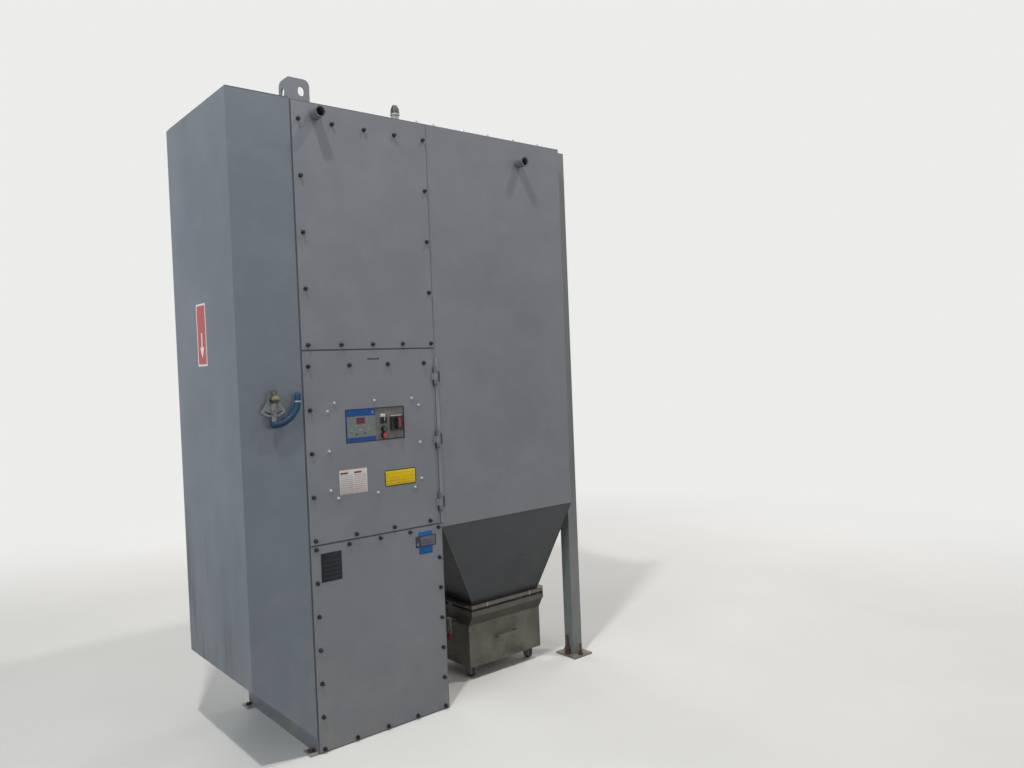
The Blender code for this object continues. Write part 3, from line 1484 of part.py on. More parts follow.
def build_control_door(m):
    """A door with a stiffening pan behind it and a window for the controls, on three hinges."""
    face = FRONT - GAP
    outer = face - DOOR_THICKNESS
    left = COLUMN_LEFT + SEAM
    axis_x = COLUMN_RIGHT - KNUCKLE_RADIUS - SEAM
    axis_y = outer - HINGE_STANDOFF
    right = axis_x - KNUCKLE_RADIUS - SEAM
    low = DOOR_BOTTOM
    high = DOOR_TOP
    pan = DOOR_PAN_INSET
    wall = DOOR_PAN_INSET + SHEET
    door = box(
        "control_door",
        (left, outer, low),
        (right, face, high),
        m["grey_paint"],
        origin=(axis_x, axis_y, (low + high) * HALF),
    )
    join(
        door,
        box(
            "door_pan",
            (left + pan, face - DOOR_THICKNESS * HALF, low + pan),
            (right - pan, face + DOOR_PAN, high - pan),
        ),
    )
    cut(
        door,
        box(
            "cut_door_pan",
            (left + wall, face, low + wall),
            (right - wall, face + DOOR_PAN + CUT_OVER, high - wall),
        ),
        box(
            "cut_window",
            (WINDOW_LEFT, outer - CUT_OVER, WINDOW_LOW),
            (WINDOW_RIGHT, face + CUT_OVER, WINDOW_HIGH),
        ),
    )
    rail_left = axis_x + SEAM
    rail = box(
        "control_door_hinge_rail",
        (rail_left, outer, low),
        (rail_left + RAIL_WIDTH, face, high - RAIL_TOP_DROP),
        m["grey_paint"],
    )
    inside = outer + DOOR_THICKNESS * HALF
    tab_y = axis_y + TAB_OVERLAP
    door_tab = (right - DOUBLE_SHEET, tab_y, inside)
    fixed_tab = (rail_left + DOUBLE_SHEET, tab_y, inside)
    heights = hinge_heights(low, high)
    build_hinges("door_hinge_", door, rail, (axis_x, axis_y), door_tab, fixed_tab, heights)
    build_controls(m, face)


def window_spot(shares):
    """A place in the control window, given as shares of its width and its height."""
    across, up = shares
    x = WINDOW_LEFT + (WINDOW_RIGHT - WINDOW_LEFT) * across
    z = WINDOW_LOW + (WINDOW_HIGH - WINDOW_LOW) * up
    return x, z


def build_controls(m, face):
    left = WINDOW_LEFT + GAP
    right = WINDOW_RIGHT - GAP
    low = WINDOW_LOW + GAP
    high = WINDOW_HIGH - GAP
    plate_front = face + GAP
    plate_back = plate_front + SHEET
    plate = box(
        "control_plate",
        (left - PLATE_RIM, plate_front, low - PLATE_RIM),
        (right + PLATE_RIM, plate_back, high + PLATE_RIM),
        m["grey_paint"],
    )
    controller_right = left + (right - left) * CONTROLLER_SHARE
    box(
        "controller_panel",
        (left, face - DOOR_THICKNESS - CONTROLLER_PROUD, low),
        (controller_right, plate_front - GAP, high),
        m["grey_plastic"],
    )
    box_left = left - PLATE_RIM
    box_right = right + PLATE_RIM
    box_low = low - BOX_DROP
    box_high = high + BOX_RISE
    box_back = plate_back + BOX_DEPTH
    enclosure = box(
        "electrical_box",
        (box_left, plate_back + GAP, box_low),
        (box_right, box_back, box_high),
        m["grey_paint"],
    )
    cut(
        enclosure,
        box(
            "cut_enclosure",
            (box_left + SHEET, plate_back - CUT_OVER, box_low + SHEET),
            (box_right - SHEET, box_back - SHEET, box_high - SHEET),
        ),
    )
    build_buttons(m, plate, plate_front, plate_back)
    build_switches(m, plate_front - GAP)


def build_buttons(m, plate, plate_front, plate_back):
    """Push buttons, each on a stem that slides in a hole of the control plate."""
    head_back = plate_front - BUTTON_TRAVEL - GAP
    front = head_back - BUTTON_DEPTH
    buttons = (
        ("start_button", START_SHARES, START_RADIUS, m["green_plastic"]),
        ("stop_button", STOP_SHARES, STOP_RADIUS, m["red_plastic"]),
    )
    for name, shares, radius, material in buttons:
        x, height = window_spot(shares)
        near = (x, plate_front - CUT_OVER, height)
        far = (x, plate_back + CUT_OVER, height)
        cut(plate, cylinder("cut_" + name, near, far, BUTTON_STEM + BUTTON_FIT))
        origin = (x, head_back, height)
        button = cylinder(name, (x, front, height), origin, radius, material, origin=origin)
        stem_end = (x, plate_back + BUTTON_DEPTH, height)
        stem_start = (x, front + SHEET, height)
        join(button, cylinder(name + "_stem", stem_start, stem_end, BUTTON_STEM, origin=origin))


def build_switches(m, face):
    """The selector knob, and the disconnect switch with its turning handle."""
    x, height = window_spot(SELECTOR_SHARES)
    centre = Vector((x, face, height))
    knob_face = centre - ALONG_Y * COLLAR_DEPTH
    material = m["black_plastic"]
    knob = cylinder("selector_knob", centre, knob_face, SELECTOR_RADIUS, material, origin=centre)
    bar = SELECTOR_BAR * HALF
    join(
        knob,
        box(
            "selector_bar",
            (x - bar, face - BUTTON_DEPTH, height - SELECTOR_RADIUS),
            (x + bar, face - COLLAR_DEPTH * HALF, height + SELECTOR_RADIUS),
            origin=centre,
        ),
    )
    half = SWITCH_SIDE * HALF
    x, height = window_spot(SWITCH_SHARES)
    front = face - SWITCH_DEPTH
    box("disconnect_base", (x - half, front, height - half), (x + half, face, height + half), material)
    pivot = Vector((x, front - GAP, height))
    hub_face = pivot - ALONG_Y * COLLAR_DEPTH
    red = m["red_plastic"]
    handle = cylinder("disconnect_handle", pivot, hub_face, half * HALF, red, origin=pivot)
    width, depth, length = SWITCH_HANDLE
    join(
        handle,
        box(
            "disconnect_bar",
            (x - width * HALF, pivot.y - depth, height - length * HALF),
            (x + width * HALF, pivot.y - COLLAR_DEPTH * HALF, height + length * HALF),
            origin=pivot,
        ),
    )


def build_all():
    m = make_materials()
    build_column(m)
    build_plenum(m)
    build_damper(m)
    build_housing(m)
    build_fan(m)
    build_manifold(m)
    build_roof_fittings(m)
    build_stubs(m)
    build_legs(m)
    outer, lip_top = build_hopper(m)
    build_bin(m, outer, lip_top)
    build_control_door(m)


clear_scene()
parts = make_collection("dust_collector")
cutters = make_collection("cutters")
build_all()
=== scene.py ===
"""The looks of a cartridge dust collector: its finishes, fasteners, labels and small fittings.

Metres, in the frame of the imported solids. The front faces -Y, and the filters lie to the right, along +X.
"""

import json
import math

import bmesh
import bpy
from mathutils import Matrix, Vector

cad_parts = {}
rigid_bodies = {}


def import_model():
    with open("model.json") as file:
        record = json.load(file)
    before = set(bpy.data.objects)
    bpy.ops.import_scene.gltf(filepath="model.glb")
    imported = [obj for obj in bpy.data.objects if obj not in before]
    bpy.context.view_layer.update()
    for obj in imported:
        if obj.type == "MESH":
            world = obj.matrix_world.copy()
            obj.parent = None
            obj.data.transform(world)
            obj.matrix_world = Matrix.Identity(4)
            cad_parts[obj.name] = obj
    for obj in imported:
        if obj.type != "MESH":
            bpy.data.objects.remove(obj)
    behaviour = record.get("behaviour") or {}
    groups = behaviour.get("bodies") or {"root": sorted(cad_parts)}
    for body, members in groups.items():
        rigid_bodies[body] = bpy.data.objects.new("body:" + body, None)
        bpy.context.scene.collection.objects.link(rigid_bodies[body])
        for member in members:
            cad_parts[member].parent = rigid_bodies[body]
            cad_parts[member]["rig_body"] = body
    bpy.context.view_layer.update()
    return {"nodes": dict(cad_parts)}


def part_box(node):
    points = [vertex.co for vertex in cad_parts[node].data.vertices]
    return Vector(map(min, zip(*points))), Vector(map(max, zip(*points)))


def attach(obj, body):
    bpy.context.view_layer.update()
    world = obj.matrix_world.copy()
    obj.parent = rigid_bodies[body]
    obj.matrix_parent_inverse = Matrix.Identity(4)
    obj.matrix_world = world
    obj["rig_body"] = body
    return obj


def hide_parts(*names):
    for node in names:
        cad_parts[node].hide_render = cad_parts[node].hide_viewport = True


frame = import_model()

# Camera, worked out from the sheet edges in the photograph
CAMERA_PLACE = Vector((-2.172, -3.536, 1.600))
CAMERA_RIGHT = Vector((0.7687, -0.6384, -0.0400))
CAMERA_UP = Vector((0.0441, -0.0095, 0.9990))
CAMERA_LENS = 28.48

# Studio: each lamp has a place, a size, a power and a colour
FLOOR_SIZE = 60
FLOOR_FADE = (2.4, 6.5)
STUDIO_AIM = Vector((0, 0, 1.3))
WORLD_LIGHT = 0.25
LAMPS = (
    ("window_lamp", (-5.4, -1.6, 2.9), 3.2, 120, (0.79, 0.92, 1.0)),
    ("front_lamp", (0.6, -5.8, 3.4), 2.6, 34, (1.0, 0.98, 0.95)),
    ("left_hall_lamp", (-2.0, -1.9, 7.0), 0.3, 205, (1.0, 0.98, 0.95)),
    ("right_hall_lamp", (2.2, -2.0, 6.8), 0.3, 125, (1.0, 0.98, 0.95)),
    ("side_lamp", (6.0, 0.6, 3.0), 3.2, 115, (1.0, 0.99, 0.97)),
    ("back_lamp", (1.0, 6.4, 3.0), 3.6, 170, (1.0, 0.99, 0.97)),
)

# Faces that new pieces sit on, and the lines that the legs stand on
PANEL_FACE = -0.3783
PLATE_FACE = -0.375
CONTROLLER_FACE = -0.3803
ROOF = 2.75
PLENUM_SIDE = -0.96
LEG_PLATE_TOP = 0.0153
EAR_TOP = 0.0083
LEG_LINES = (-0.2825, 0.2825)

# Places that finishes draw their marks at
SHEET_SEAMS = (0.880, 1.704)
HINGE_HEIGHTS = (0.980, 1.276, 1.571)
DOOR_SLOT_SHADE = (-0.378, -0.317, 1.661)
SIGN_LOW = (-0.044, 1.657)
SIGN_HIGH = (0.069, 1.926)
SIGN_BORDER = 0.008
TAPE_MIDDLE = -0.1125
BOSS_CENTRE = (-0.825, 1.509)
BOSS_RADIUS = 0.0185
START_BUTTON = (-0.3081, 1.3470, 0.0078)
STOP_BUTTON = (-0.3081, 1.3181, 0.0118)

# Turns of forward-facing patterns, and limits for angles and places
FACING_FRONT = (math.radians(90), 0, 0)
FRONT_TURN = Matrix.Identity(4)
TOP_TURN = Matrix.Rotation(math.radians(-90), 4, "X")
DOWN_TURN = Matrix.Rotation(math.radians(90), 4, "X")
BACK_TURN = Matrix.Rotation(math.radians(180), 4, "Z")
RIGHT_TURN = Matrix.Rotation(math.radians(90), 4, "Z")
PATTERN_TWIST = 0.9
SMOOTH_ANGLE = math.radians(32)
SHARP_ANGLE = math.radians(60)
FLAT_ANGLE = math.radians(0.5)
SAME_PLACE = 0.00001
MERGE_DISTANCE = 0.00002

# Fasteners: radius over the corners, height of the head, radius of the washer
PANEL_BOLT = (0.0074, 0.0102, 0.0094)
DOOR_SCREW = (0.0058, 0.0098, 0.0070)
ROOF_BOLT = (0.0066, 0.0095, 0.0085)
FLANGE_BOLT = (0.0062, 0.0045, 0.0085)
ANCHOR_NUT = (0.0105, 0.009, 0.0150)
ROD_NUT = (0.0140, 0.0125, 0.0180)
SEAT = 0.0014

# Panel bolts: name, body, columns, rows, and the ends of the inner rows that have a bolt
PANEL_BOLTS = (
    ("upper_panel_bolts", "cabinet",
     (-0.655, -0.5005, -0.346, -0.1915, -0.037),
     (1.726, 1.9622, 2.1985, 2.4348, 2.671), (0, -1)),
    ("lower_panel_bolts", "cabinet",
     (-0.660, -0.5048, -0.3495, -0.1943, -0.039),
     (0.0165, 0.1525, 0.295, 0.437, 0.579, 0.721, 0.863), (0, -1)),
    ("door_bolts", "control_door",
     (-0.660, -0.467, -0.275, -0.082),
     (0.900, 1.084, 1.268, 1.452, 1.636), (0,)),
)
DOOR_SCREW_SPOTS = (
    (-0.547, 1.476), (-0.351, 1.476), (-0.157, 1.476),
    (-0.581, 1.442), (-0.121, 1.442),
    (-0.581, 1.272), (-0.121, 1.272),
    (-0.581, 1.104), (-0.121, 1.104),
    (-0.547, 1.067), (-0.352, 1.067), (-0.158, 1.067),
)
ROOF_BOLT_SPOTS = (-0.055, 0.040, 0.210, 0.364, 0.530, 0.690)
ROOF_BOLT_LINES = (-0.366, 0.366)

# The inlet flange's face, height, bolt circle and number of bolts
INLET_FLANGE = (0.9303, 2.35, 0.140, 8)

# Anchors: the place of the nuts on the legs' plates and the base frame's ears, and the tall rods
LEG_NUTS = (0.8925, 0.056)
EAR_NUTS = (-0.7075, 0.340)
ROD_LINE = 0.8460
ROD_RADIUS = 0.0072
ROD_LENGTH = 0.098
ROD_NUT_STEP = 0.024
THREAD_RINGS = 41

# Stickers: left, right, bottom and top
WHITE_STICKER = (-0.538, -0.403, 1.078, 1.184)
YELLOW_STICKER = (-0.314, -0.150, 1.086, 1.159)
RATING_PLATE = (-0.641, -0.544, 0.720, 0.843)
TAPE = (-0.150, -0.075, 0.7506, 0.8548)
TAG = (-0.167, -0.055, 0.7845, 0.8365)
LEGEND = (-0.3245, -0.2875, 1.3715, 1.3990)
SELECTOR_LABEL = (-0.3215, -0.2975, 1.4003, 1.4150)
DISCONNECT_LABEL = (-0.2712, -0.2130, 1.4005, 1.4052)

# Stickers: name, place, face, thickness, corner radius, finish, body and slot
STICKERS = (
    ("door_sticker_white", WHITE_STICKER, PANEL_FACE, 0.0005, 0.002,
     "white_sticker", "control_door", "panel_plastic"),
    ("door_sticker_yellow", YELLOW_STICKER, PANEL_FACE, 0.0005, 0.007,
     "yellow_sticker", "control_door", "panel_plastic"),
    ("blank_rating_plate", RATING_PLATE, PANEL_FACE, 0.0008, 0.003,
     "dark_plate", "cabinet", "black_plastic"),
    ("blue_tape", TAPE, PANEL_FACE, 0.0004, 0.004,
     "tape_blue", "cabinet", "panel_plastic"),
    ("tag_under_tape", TAG, PANEL_FACE - 0.0005, 0.0005, 0.003,
     "taped_tag", "cabinet", "black_plastic"),
    ("selector_legend", LEGEND, PLATE_FACE, 0.0008, 0.003,
     "black_plastic", "control_door", "black_plastic"),
    ("selector_label", SELECTOR_LABEL, PLATE_FACE, 0.0006, 0.0012,
     "pale_legend", "control_door", "panel_plastic"),
    ("disconnect_label", DISCONNECT_LABEL, PLATE_FACE, 0.0006, 0.0008,
     "pale_legend", "control_door", "panel_plastic"),
)

# What is printed on them: bars with their colours, and rules with pitch, strength, colour and top
WHITE_BARS = (
    (-0.533, -0.497, 1.1655, 1.1735, (118, 40, 34)),
    (-0.467, -0.430, 1.1655, 1.1735, (118, 40, 34)),
)
WHITE_RULES = (0.0085, 0.75, (112, 104, 102), 1.160)
YELLOW_BARS = ((-0.309, -0.155, 1.1425, 1.1435, (88, 70, 12)),)
YELLOW_RULES = (0.0135, 0.5, (150, 118, 18), 1.138)
PLATE_BARS = tuple((-0.634, -0.551, z, z + 0.007, (40, 42, 48)) for z in (0.732, 0.750, 0.768, 0.786, 0.804))
TAG_FIELDS = (
    (-0.162, -0.139, 0.790, 0.831, (56, 58, 66)),
    (-0.159, -0.152, 0.794, 0.806, (112, 150, 172)),
    (-0.128, -0.098, 0.812, 0.816, (58, 56, 66)),
    (-0.128, -0.074, 0.800, 0.803, (64, 62, 72)),
)

# Controls: the display, the window and its gasket, the keys, and the rings round the buttons
DISPLAY = (-0.444, -0.405, 1.380, 1.405)
WINDOW = (-0.4949, -0.2030, 1.300, 1.442)
GASKET_EDGE = 0.0022
GASKET_DEPTH = 0.0012
GASKET_WIDTH = 0.003
SELECTOR_SPOT = (-0.3081, 1.3861)
SELECTOR_HOLE = 0.0137
DRILL_LENGTH = 0.05
KEY_HEIGHT = 0.0008
KEY_SPOTS = ((-0.447, 1.368), (-0.407, 1.370), (-0.470, 1.350), (-0.427, 1.3495), (-0.386, 1.3505))
ARROW_SPOTS = ((-0.448, 1.334), (-0.406, 1.337))

# Keys: name, radius, sides, chamfer, turn from key to key, places, finish and slot
KEYS = (
    ("controller_keys", 0.0062, 20, (0.0008, 0.0004), PATTERN_TWIST, KEY_SPOTS,
     "key_grey", "panel_plastic"),
    ("controller_arrow_keys", 0.0058, 3, (0.0005, 0.0003), math.pi, ARROW_SPOTS,
     "black_plastic", "black_plastic"),
)

# Rings: name, x, height, inner radius and outer radius
RINGS = (
    ("start_ring", -0.3081, 1.3470, 0.0116, 0.0135),
    ("stop_ring", -0.3081, 1.3181, 0.0131, 0.0150),
)
RING_DEPTH = 0.0035

# Hopper corners, from left to right, to the side and up, and its weld beads
HOPPER_TOP = (-0.0107, 0.8260, 0.372, 0.8537)
HOPPER_MOUTH = (0.265, 0.705, 0.210, 0.400)
BEAD_RADIUS = 0.0034
BEAD_PITCH = 0.0075

# Small fittings
CLIP_SPOTS = ((0.341, -0.2320, 0.3857), (0.629, -0.2320, 0.3857))
RIB = ((0.9250, 0.0150), (0.9560, 0.1150))
LEG_CAP = (0.8605, 0.9245, 0.032)
BOX_SCREW_INSET = 0.026
GLAND_SHIFTS = (-0.06, 0, 0.06)

# Solids that a smooth copy stands for, by the start of the name, with their slots
SMOOTH_SOLIDS = {
    "damper_grip": "blue_sleeve",
    "damper_lever_arm": "galvanised",
    "front_pipe_stub_": "grey_paint",
    "air_supply_fitting": "galvanised",
    "inlet_collar": "grey_paint",
    "fan_inlet_ring": "galvanised",
    "fan_impeller": "dark_steel",
    "fan_motor": "motor_paint",
    "lifting_lug_": "grey_paint",
    "selector_knob": "black_plastic",
    "start_button": "green_plastic",
    "stop_button": "red_plastic",
    "filter_door_latch_": "black_plastic",
    "clamp_lever_": "bright_steel",
    "cartridge_": "filter_media",
    "caster_wheel_": "black_rubber",
}


# Shader trees

class Value:
    """One output of a shader tree. Sums, differences and products add Math nodes."""

    def __init__(self, shader, socket):
        self.shader = shader
        self.socket = socket

    def __add__(self, other):
        return self.shader.maths("ADD", self, other)

    def __radd__(self, other):
        return self.shader.maths("ADD", other, self)

    def __sub__(self, other):
        return self.shader.maths("SUBTRACT", self, other)

    def __rsub__(self, other):
        return self.shader.maths("SUBTRACT", other, self)

    def __mul__(self, other):
        return self.shader.maths("MULTIPLY", self, other)

    def __rmul__(self, other):
        return self.shader.maths("MULTIPLY", other, self)

    def __abs__(self):
        return self.shader.maths("ABSOLUTE", self)


class Shader:
    """The shader tree of a material or of the world."""

    def __init__(self, tree):
        self.tree = tree
        self.tree.nodes.clear()

    def node(self, kind, settings, sockets, result=""):
        made = self.tree.nodes.new("ShaderNode" + kind)
        for name, setting in settings.items():
            setattr(made, name, setting)
        for name, value in sockets.items():
            self.feed(socket_called(made.inputs, name), value)
        return Value(self, socket_called(made.outputs, result))

    def feed(self, socket, value):
        if isinstance(value, Value):
            self.tree.links.new(value.socket, socket)
        else:
            socket.default_value = value

    def maths(self, operation, first, second=0):
        return self.node("Math", {"operation": operation}, {"Value": first, "Value_001": second})

    def larger(self, first, second):
        return self.maths("MAXIMUM", first, second)

    def in_view(self):
        """1 where the camera looks, also in a mirror or through glass, and 0 for light on the object."""
        seen = self.node("LightPath", {}, {}, "Is Camera Ray")
        for ray in ("Is Glossy Ray", "Is Transmission Ray"):
            seen = self.larger(seen, self.node("LightPath", {}, {}, ray))
        return seen


class Finish(Shader):
    """One material and the steps that finishes are made with. All materials stay in made, by name."""

    made = {}

    def __init__(self, name):
        self.material = bpy.data.materials.new(name)
        self.material.use_nodes = True
        self.made[name] = self.material
        super().__init__(self.material.node_tree)
        self.place = self.node("TexCoord", {}, {}, "Object")
        self.x = self.node("SeparateXYZ", {}, {"Vector": self.place}, "X")
        self.y = self.node("SeparateXYZ", {}, {"Vector": self.place}, "Y")
        self.z = self.node("SeparateXYZ", {}, {"Vector": self.place}, "Z")

    def mix(self, mask, low, high):
        sockets = {"Factor_Float": mask, "A_Color": low, "B_Color": high}
        return self.node("Mix", {"data_type": "RGBA"}, sockets, "Result_Color")

    def spread(self, scale, turn=(0, 0, 0)):
        return self.node("Mapping", {}, {"Vector": self.place, "Rotation": turn, "Scale": scale})

    def noise(self, scale, detail=3, rough=0.5, vector=None):
        sockets = {
            "Vector": vector or self.place,
            "Scale": scale,
            "Detail": detail,
            "Roughness": rough,
        }
        return self.node("TexNoise", {}, sockets)

    def cells(self, scale, result="Distance"):
        return self.node("TexVoronoi", {}, {"Vector": self.place, "Scale": scale}, result)

    def step(self, value, low, high):
        """0 at low and 1 at high, also where high is the smaller one."""
        settings = {"interpolation_type": "SMOOTHSTEP", "clamp": True}
        sockets = {"Value": value, "From Min": low, "From Max": high}
        return self.node("MapRange", settings, sockets, "Result")

    def patches(self, low, high, *noise):
        return self.step(self.noise(*noise), low, high)

    def between(self, value, low, high, soft=0.0006):
        return self.step(value, low - soft, low + soft) * self.step(value, high + soft, high - soft)

    def wave(self, value):
        return self.maths("SINE", value)

    def away_from(self, across, up, centre):
        """The distance from a centre, where across and up are two of the directions."""
        side = across - centre[0]
        rise = up - centre[1]
        return self.maths("SQRT", side * side + rise * rise)

    def done(self, colour, gloss, metallic, height, strength, reach, glow=None, shine=0.5):
        """Feeds the shader: gloss is its roughness, and height, strength and reach make the relief."""
        relief = {"Strength": strength, "Distance": reach, "Height": height}
        sockets = {
            "Base Color": colour,
            "Roughness": gloss,
            "Metallic": metallic,
            "Specular IOR Level": shine,
            "Normal": self.node("Bump", {}, relief, "Normal"),
        }
        if glow is not None:
            sockets["Emission Color"] = glow
            sockets["Emission Strength"] = 1
        surface = self.node("BsdfPrincipled", {}, sockets, "BSDF")
        self.node("OutputMaterial", {}, {"Surface": surface})

    def painted(self, colour, gloss, peel):
        self.done(colour, gloss, 0, peel, 0.22, 0.0004)


def socket_called(sockets, name):
    """The socket with this name, or else the first one, where there is one."""
    for socket in sockets:
        if name in (socket.identifier, socket.name):
            return socket
    return sockets[0] if len(sockets) else None


def screen(red, green, blue):
    """A colour as a screen shows it, 0 to 255, in the linear values that a socket takes."""
    linear = []
    for part in (red, green, blue):
        share = part / 255
        linear.append(share / 12.92 if share <= 0.04045 else ((share + 0.055) / 1.055) ** 2.4)
    return (*linear, 1)


def shaded(tone, gain, lift=0):
    """A lighter or darker shade of a colour as a screen shows it."""
    return screen(*(min(255, part * gain + lift) for part in tone))


# Finishes

COAT = screen(110, 113, 119)
COAT_LIGHT = screen(128, 131, 137)
COAT_DARK = screen(88, 91, 97)
DUST = screen(132, 127, 116)
SOOT = screen(52, 51, 52)
# Painted shade: the dark of the narrow gaps between sheets and along the hinge rail's edges
SEAM_SHADE = screen(46, 48, 54)
# Painted shade for the slots and gaps beside the control door's hinges
SLOT_SHADE = screen(26, 27, 30)
BARE_STEEL = screen(150, 150, 148)
RUST = screen(50, 39, 34)
RUST_LIGHT = screen(86, 65, 51)
BACKGROUND = screen(236, 236, 235)


def coat_layers(coat, colour=COAT, light=COAT_LIGHT, dark=COAT_DARK):
    """Powder coat: broad mottle, fine scuffs and the orange peel of the cured powder."""
    broad = coat.patches(0.36, 0.66, 1.7, 4, 0.55)
    cloud = coat.patches(0.42, 0.78, 9, 5, 0.6)
    layered = coat.mix(broad * 0.34, colour, dark)
    layered = coat.mix(cloud * 0.22, layered, light)
    streaks = coat.patches(0.66, 0.78, 14, 4, 0.6, coat.spread((1, 1, 9), (0.2, 0.5, 0.1)))
    scuffs = streaks * coat.patches(0.5, 0.68, 3.1, 2)
    layered = coat.mix(scuffs * 0.3, layered, screen(158, 160, 163))
    peel = coat.noise(330, 2, 0.5) + coat.noise(900, 1, 0.5) * 0.4
    gloss = 0.43 + broad * 0.08 + scuffs * 0.12
    return layered, gloss, peel


def dusty_coat(name, dust, top=0.75, *tones):
    """A new finish with the coat's layers, and shop dust that thins out up to a height."""
    coat = Finish(name)
    colour, gloss, peel = coat_layers(coat, *tones)
    low = coat.step(coat.z, top, 0.02)
    mask = low * coat.patches(0.4, 0.72, 6.5, 6, 0.62) * dust
    specks = coat.patches(0.68, 0.74, 95, 3, 0.7) * low * dust
    colour = coat.mix(mask, colour, DUST)
    colour = coat.mix(specks, colour, SOOT)
    return coat, colour, gloss + mask * 0.3, peel


def border_wear_and_shading(coat, colour, gloss, low, high):
    """Chips, a painted highlight and a painted shade seam along the edges of a sheet, which runs from low to
    high.
    """
    middle = (low + high) / 2
    half = (high - low) / 2
    side = abs(coat.x - middle.x)
    end = abs(coat.z - middle.z)
    edge = coat.larger(coat.step(side, half.x - 0.007, half.x - 0.001),
                       coat.step(end, half.z - 0.007, half.z - 0.001))
    seam_shade = coat.larger(coat.step(side, half.x - 0.0026, half.x - 0.0018),
                       coat.step(end, half.z - 0.0026, half.z - 0.0018))
    chips = edge * coat.patches(0.56, 0.68, 48, 5, 0.7)
    # A painted highlight: a lighter band along the sheet's folded edge.
    colour = coat.mix(edge * 0.25, colour, COAT_LIGHT)
    colour = coat.mix(chips * 0.4, colour, BARE_STEEL)
    # Painted shade in the narrow seam at the sheet's edge.
    colour = coat.mix(seam_shade * 0.75, colour, SEAM_SHADE)
    return colour, gloss - chips * 0.1


def column_coat(name):
    """The column's coat, with painted shade in the narrow seams beside the front sheets."""
    coat, colour, gloss, peel = dusty_coat(name, 0.5)
    front = coat.step(coat.y, PLATE_FACE + 0.001, PLATE_FACE + 0.0005)
    seam_shades = coat.step(coat.x, -0.6860, -0.6866)
    for height in SHEET_SEAMS:
        seam_shades = coat.larger(seam_shades, coat.between(coat.z, height - 0.002, height + 0.002))
    # The dark in these seams is painted shade.
    colour = coat.mix(front * seam_shades * 0.8, colour, SEAM_SHADE)
    coat.painted(colour, gloss, peel)


def plain_coat(name, dust, tone=COAT):
    """Powder coat with more or less dust near the floor."""
    coat, *layers = dusty_coat(name, dust, 0.75, tone)
    coat.painted(*layers)


def base_coat(name):
    """The base frame's coat, with pale floor dust caked on its anchor ears."""
    coat, colour, gloss, peel = dusty_coat(name, 0.8, 0.75, screen(98, 101, 108))
    ears = coat.step(coat.z, 0.0100, 0.0090) * coat.step(coat.x, -0.6895, -0.6910)
    caked = coat.patches(0.3, 0.6, 30, 5, 0.6) * 0.4 + 0.4
    colour = coat.mix(ears * caked, colour, screen(152, 147, 140))
    coat.painted(colour, gloss + ears * 0.2, peel)


def housing_coat(name):
    """The filter housing's coat, with painted shade in the slots beside the control door's hinges."""
    coat, colour, gloss, peel = dusty_coat(name, 0.3)
    front = coat.step(coat.y, PLATE_FACE + 0.001, PLATE_FACE + 0.0005)
    beside_rail = coat.between(coat.x, -0.001, 0.0085, 0.0004)
    for height in HINGE_HEIGHTS:
        # Painted shade: each slot beside a hinge is darkened.
        slot = coat.between(coat.z, height - 0.026, height + 0.022) * beside_rail * front
        colour = coat.mix(slot * 0.85, colour, SLOT_SHADE)
    coat.painted(colour, gloss, peel)


def sheet_coat(name, shaded_slot=None):
    """The coat of a front sheet: chips along its border with a painted highlight and painted shade, and,
    where given, a dark slot of painted shade.
    """
    coat, colour, gloss, peel = dusty_coat(name, 0.5, 0.6)
    colour, gloss = border_wear_and_shading(coat, colour, gloss, *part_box(name))
    if shaded_slot:
        left, right, height = shaded_slot
        # The slot is drawn as a dark line on the face: painted shade in an opening.
        mark = coat.between(coat.x, left, right) * coat.between(coat.z, height - 0.003, height + 0.003)
        mark = mark * coat.step(coat.y, PANEL_FACE + 0.001, PANEL_FACE + 0.0005)
        colour = coat.mix(mark, colour, screen(22, 22, 24))
    coat.painted(colour, gloss, peel)


def plenum_coat(name):
    """The plenum's coat, with the grime of its left side and the plain red sign stuck on it."""
    coat, colour, gloss, peel = dusty_coat(name, 0.6, 0.9, screen(98, 106, 116), screen(116, 124, 134))
    left = coat.step(coat.x, PLENUM_SIDE + 0.003, PLENUM_SIDE + 0.001)
    drips = coat.patches(0.43, 0.62, 7, 5, 0.62, coat.spread((1, 1, 0.16)))
    low_back = coat.step(coat.y, -0.34, 0.30) * 0.6 + 0.4
    soot = drips * coat.step(coat.z, 1.25, 0.35) * left * low_back
    colour = coat.mix(soot * 0.8, colour, SOOT)
    hand = coat.patches(0.55, 0.7, 4.2, 5, 0.6) * coat.between(coat.z, 0.9, 1.6, 0.25) * left
    colour = coat.mix(hand * 0.25, colour, COAT_DARK)
    (back, foot), (front, top) = SIGN_LOW, SIGN_HIGH
    edge = SIGN_BORDER
    field = coat.between(coat.y, back, front) * coat.between(coat.z, foot, top)
    inner = coat.between(coat.y, back + edge, front - edge) * coat.between(coat.z, foot + edge, top - edge)
    off_middle = abs(coat.y - (back + front) / 2)
    shaft = coat.step(off_middle, 0.0066, 0.0054) * coat.between(coat.z, 1.735, 1.80)
    head = coat.step((coat.z - 1.69) * 0.5 - off_middle, 0, 0.001) * coat.between(coat.z, 1.69, 1.738)
    faded = coat.patches(0.35, 0.7, 40, 3)
    red = coat.mix(faded * 0.35, screen(168, 34, 36), screen(188, 66, 62))
    sign = coat.mix(inner, screen(214, 208, 206), red)
    sign = coat.mix(coat.larger(shaft, head), sign, screen(220, 214, 212))
    on_side = field * left
    colour = coat.mix(on_side, colour, sign)
    coat.painted(colour, gloss * (1 - on_side) + on_side * 0.35, peel)


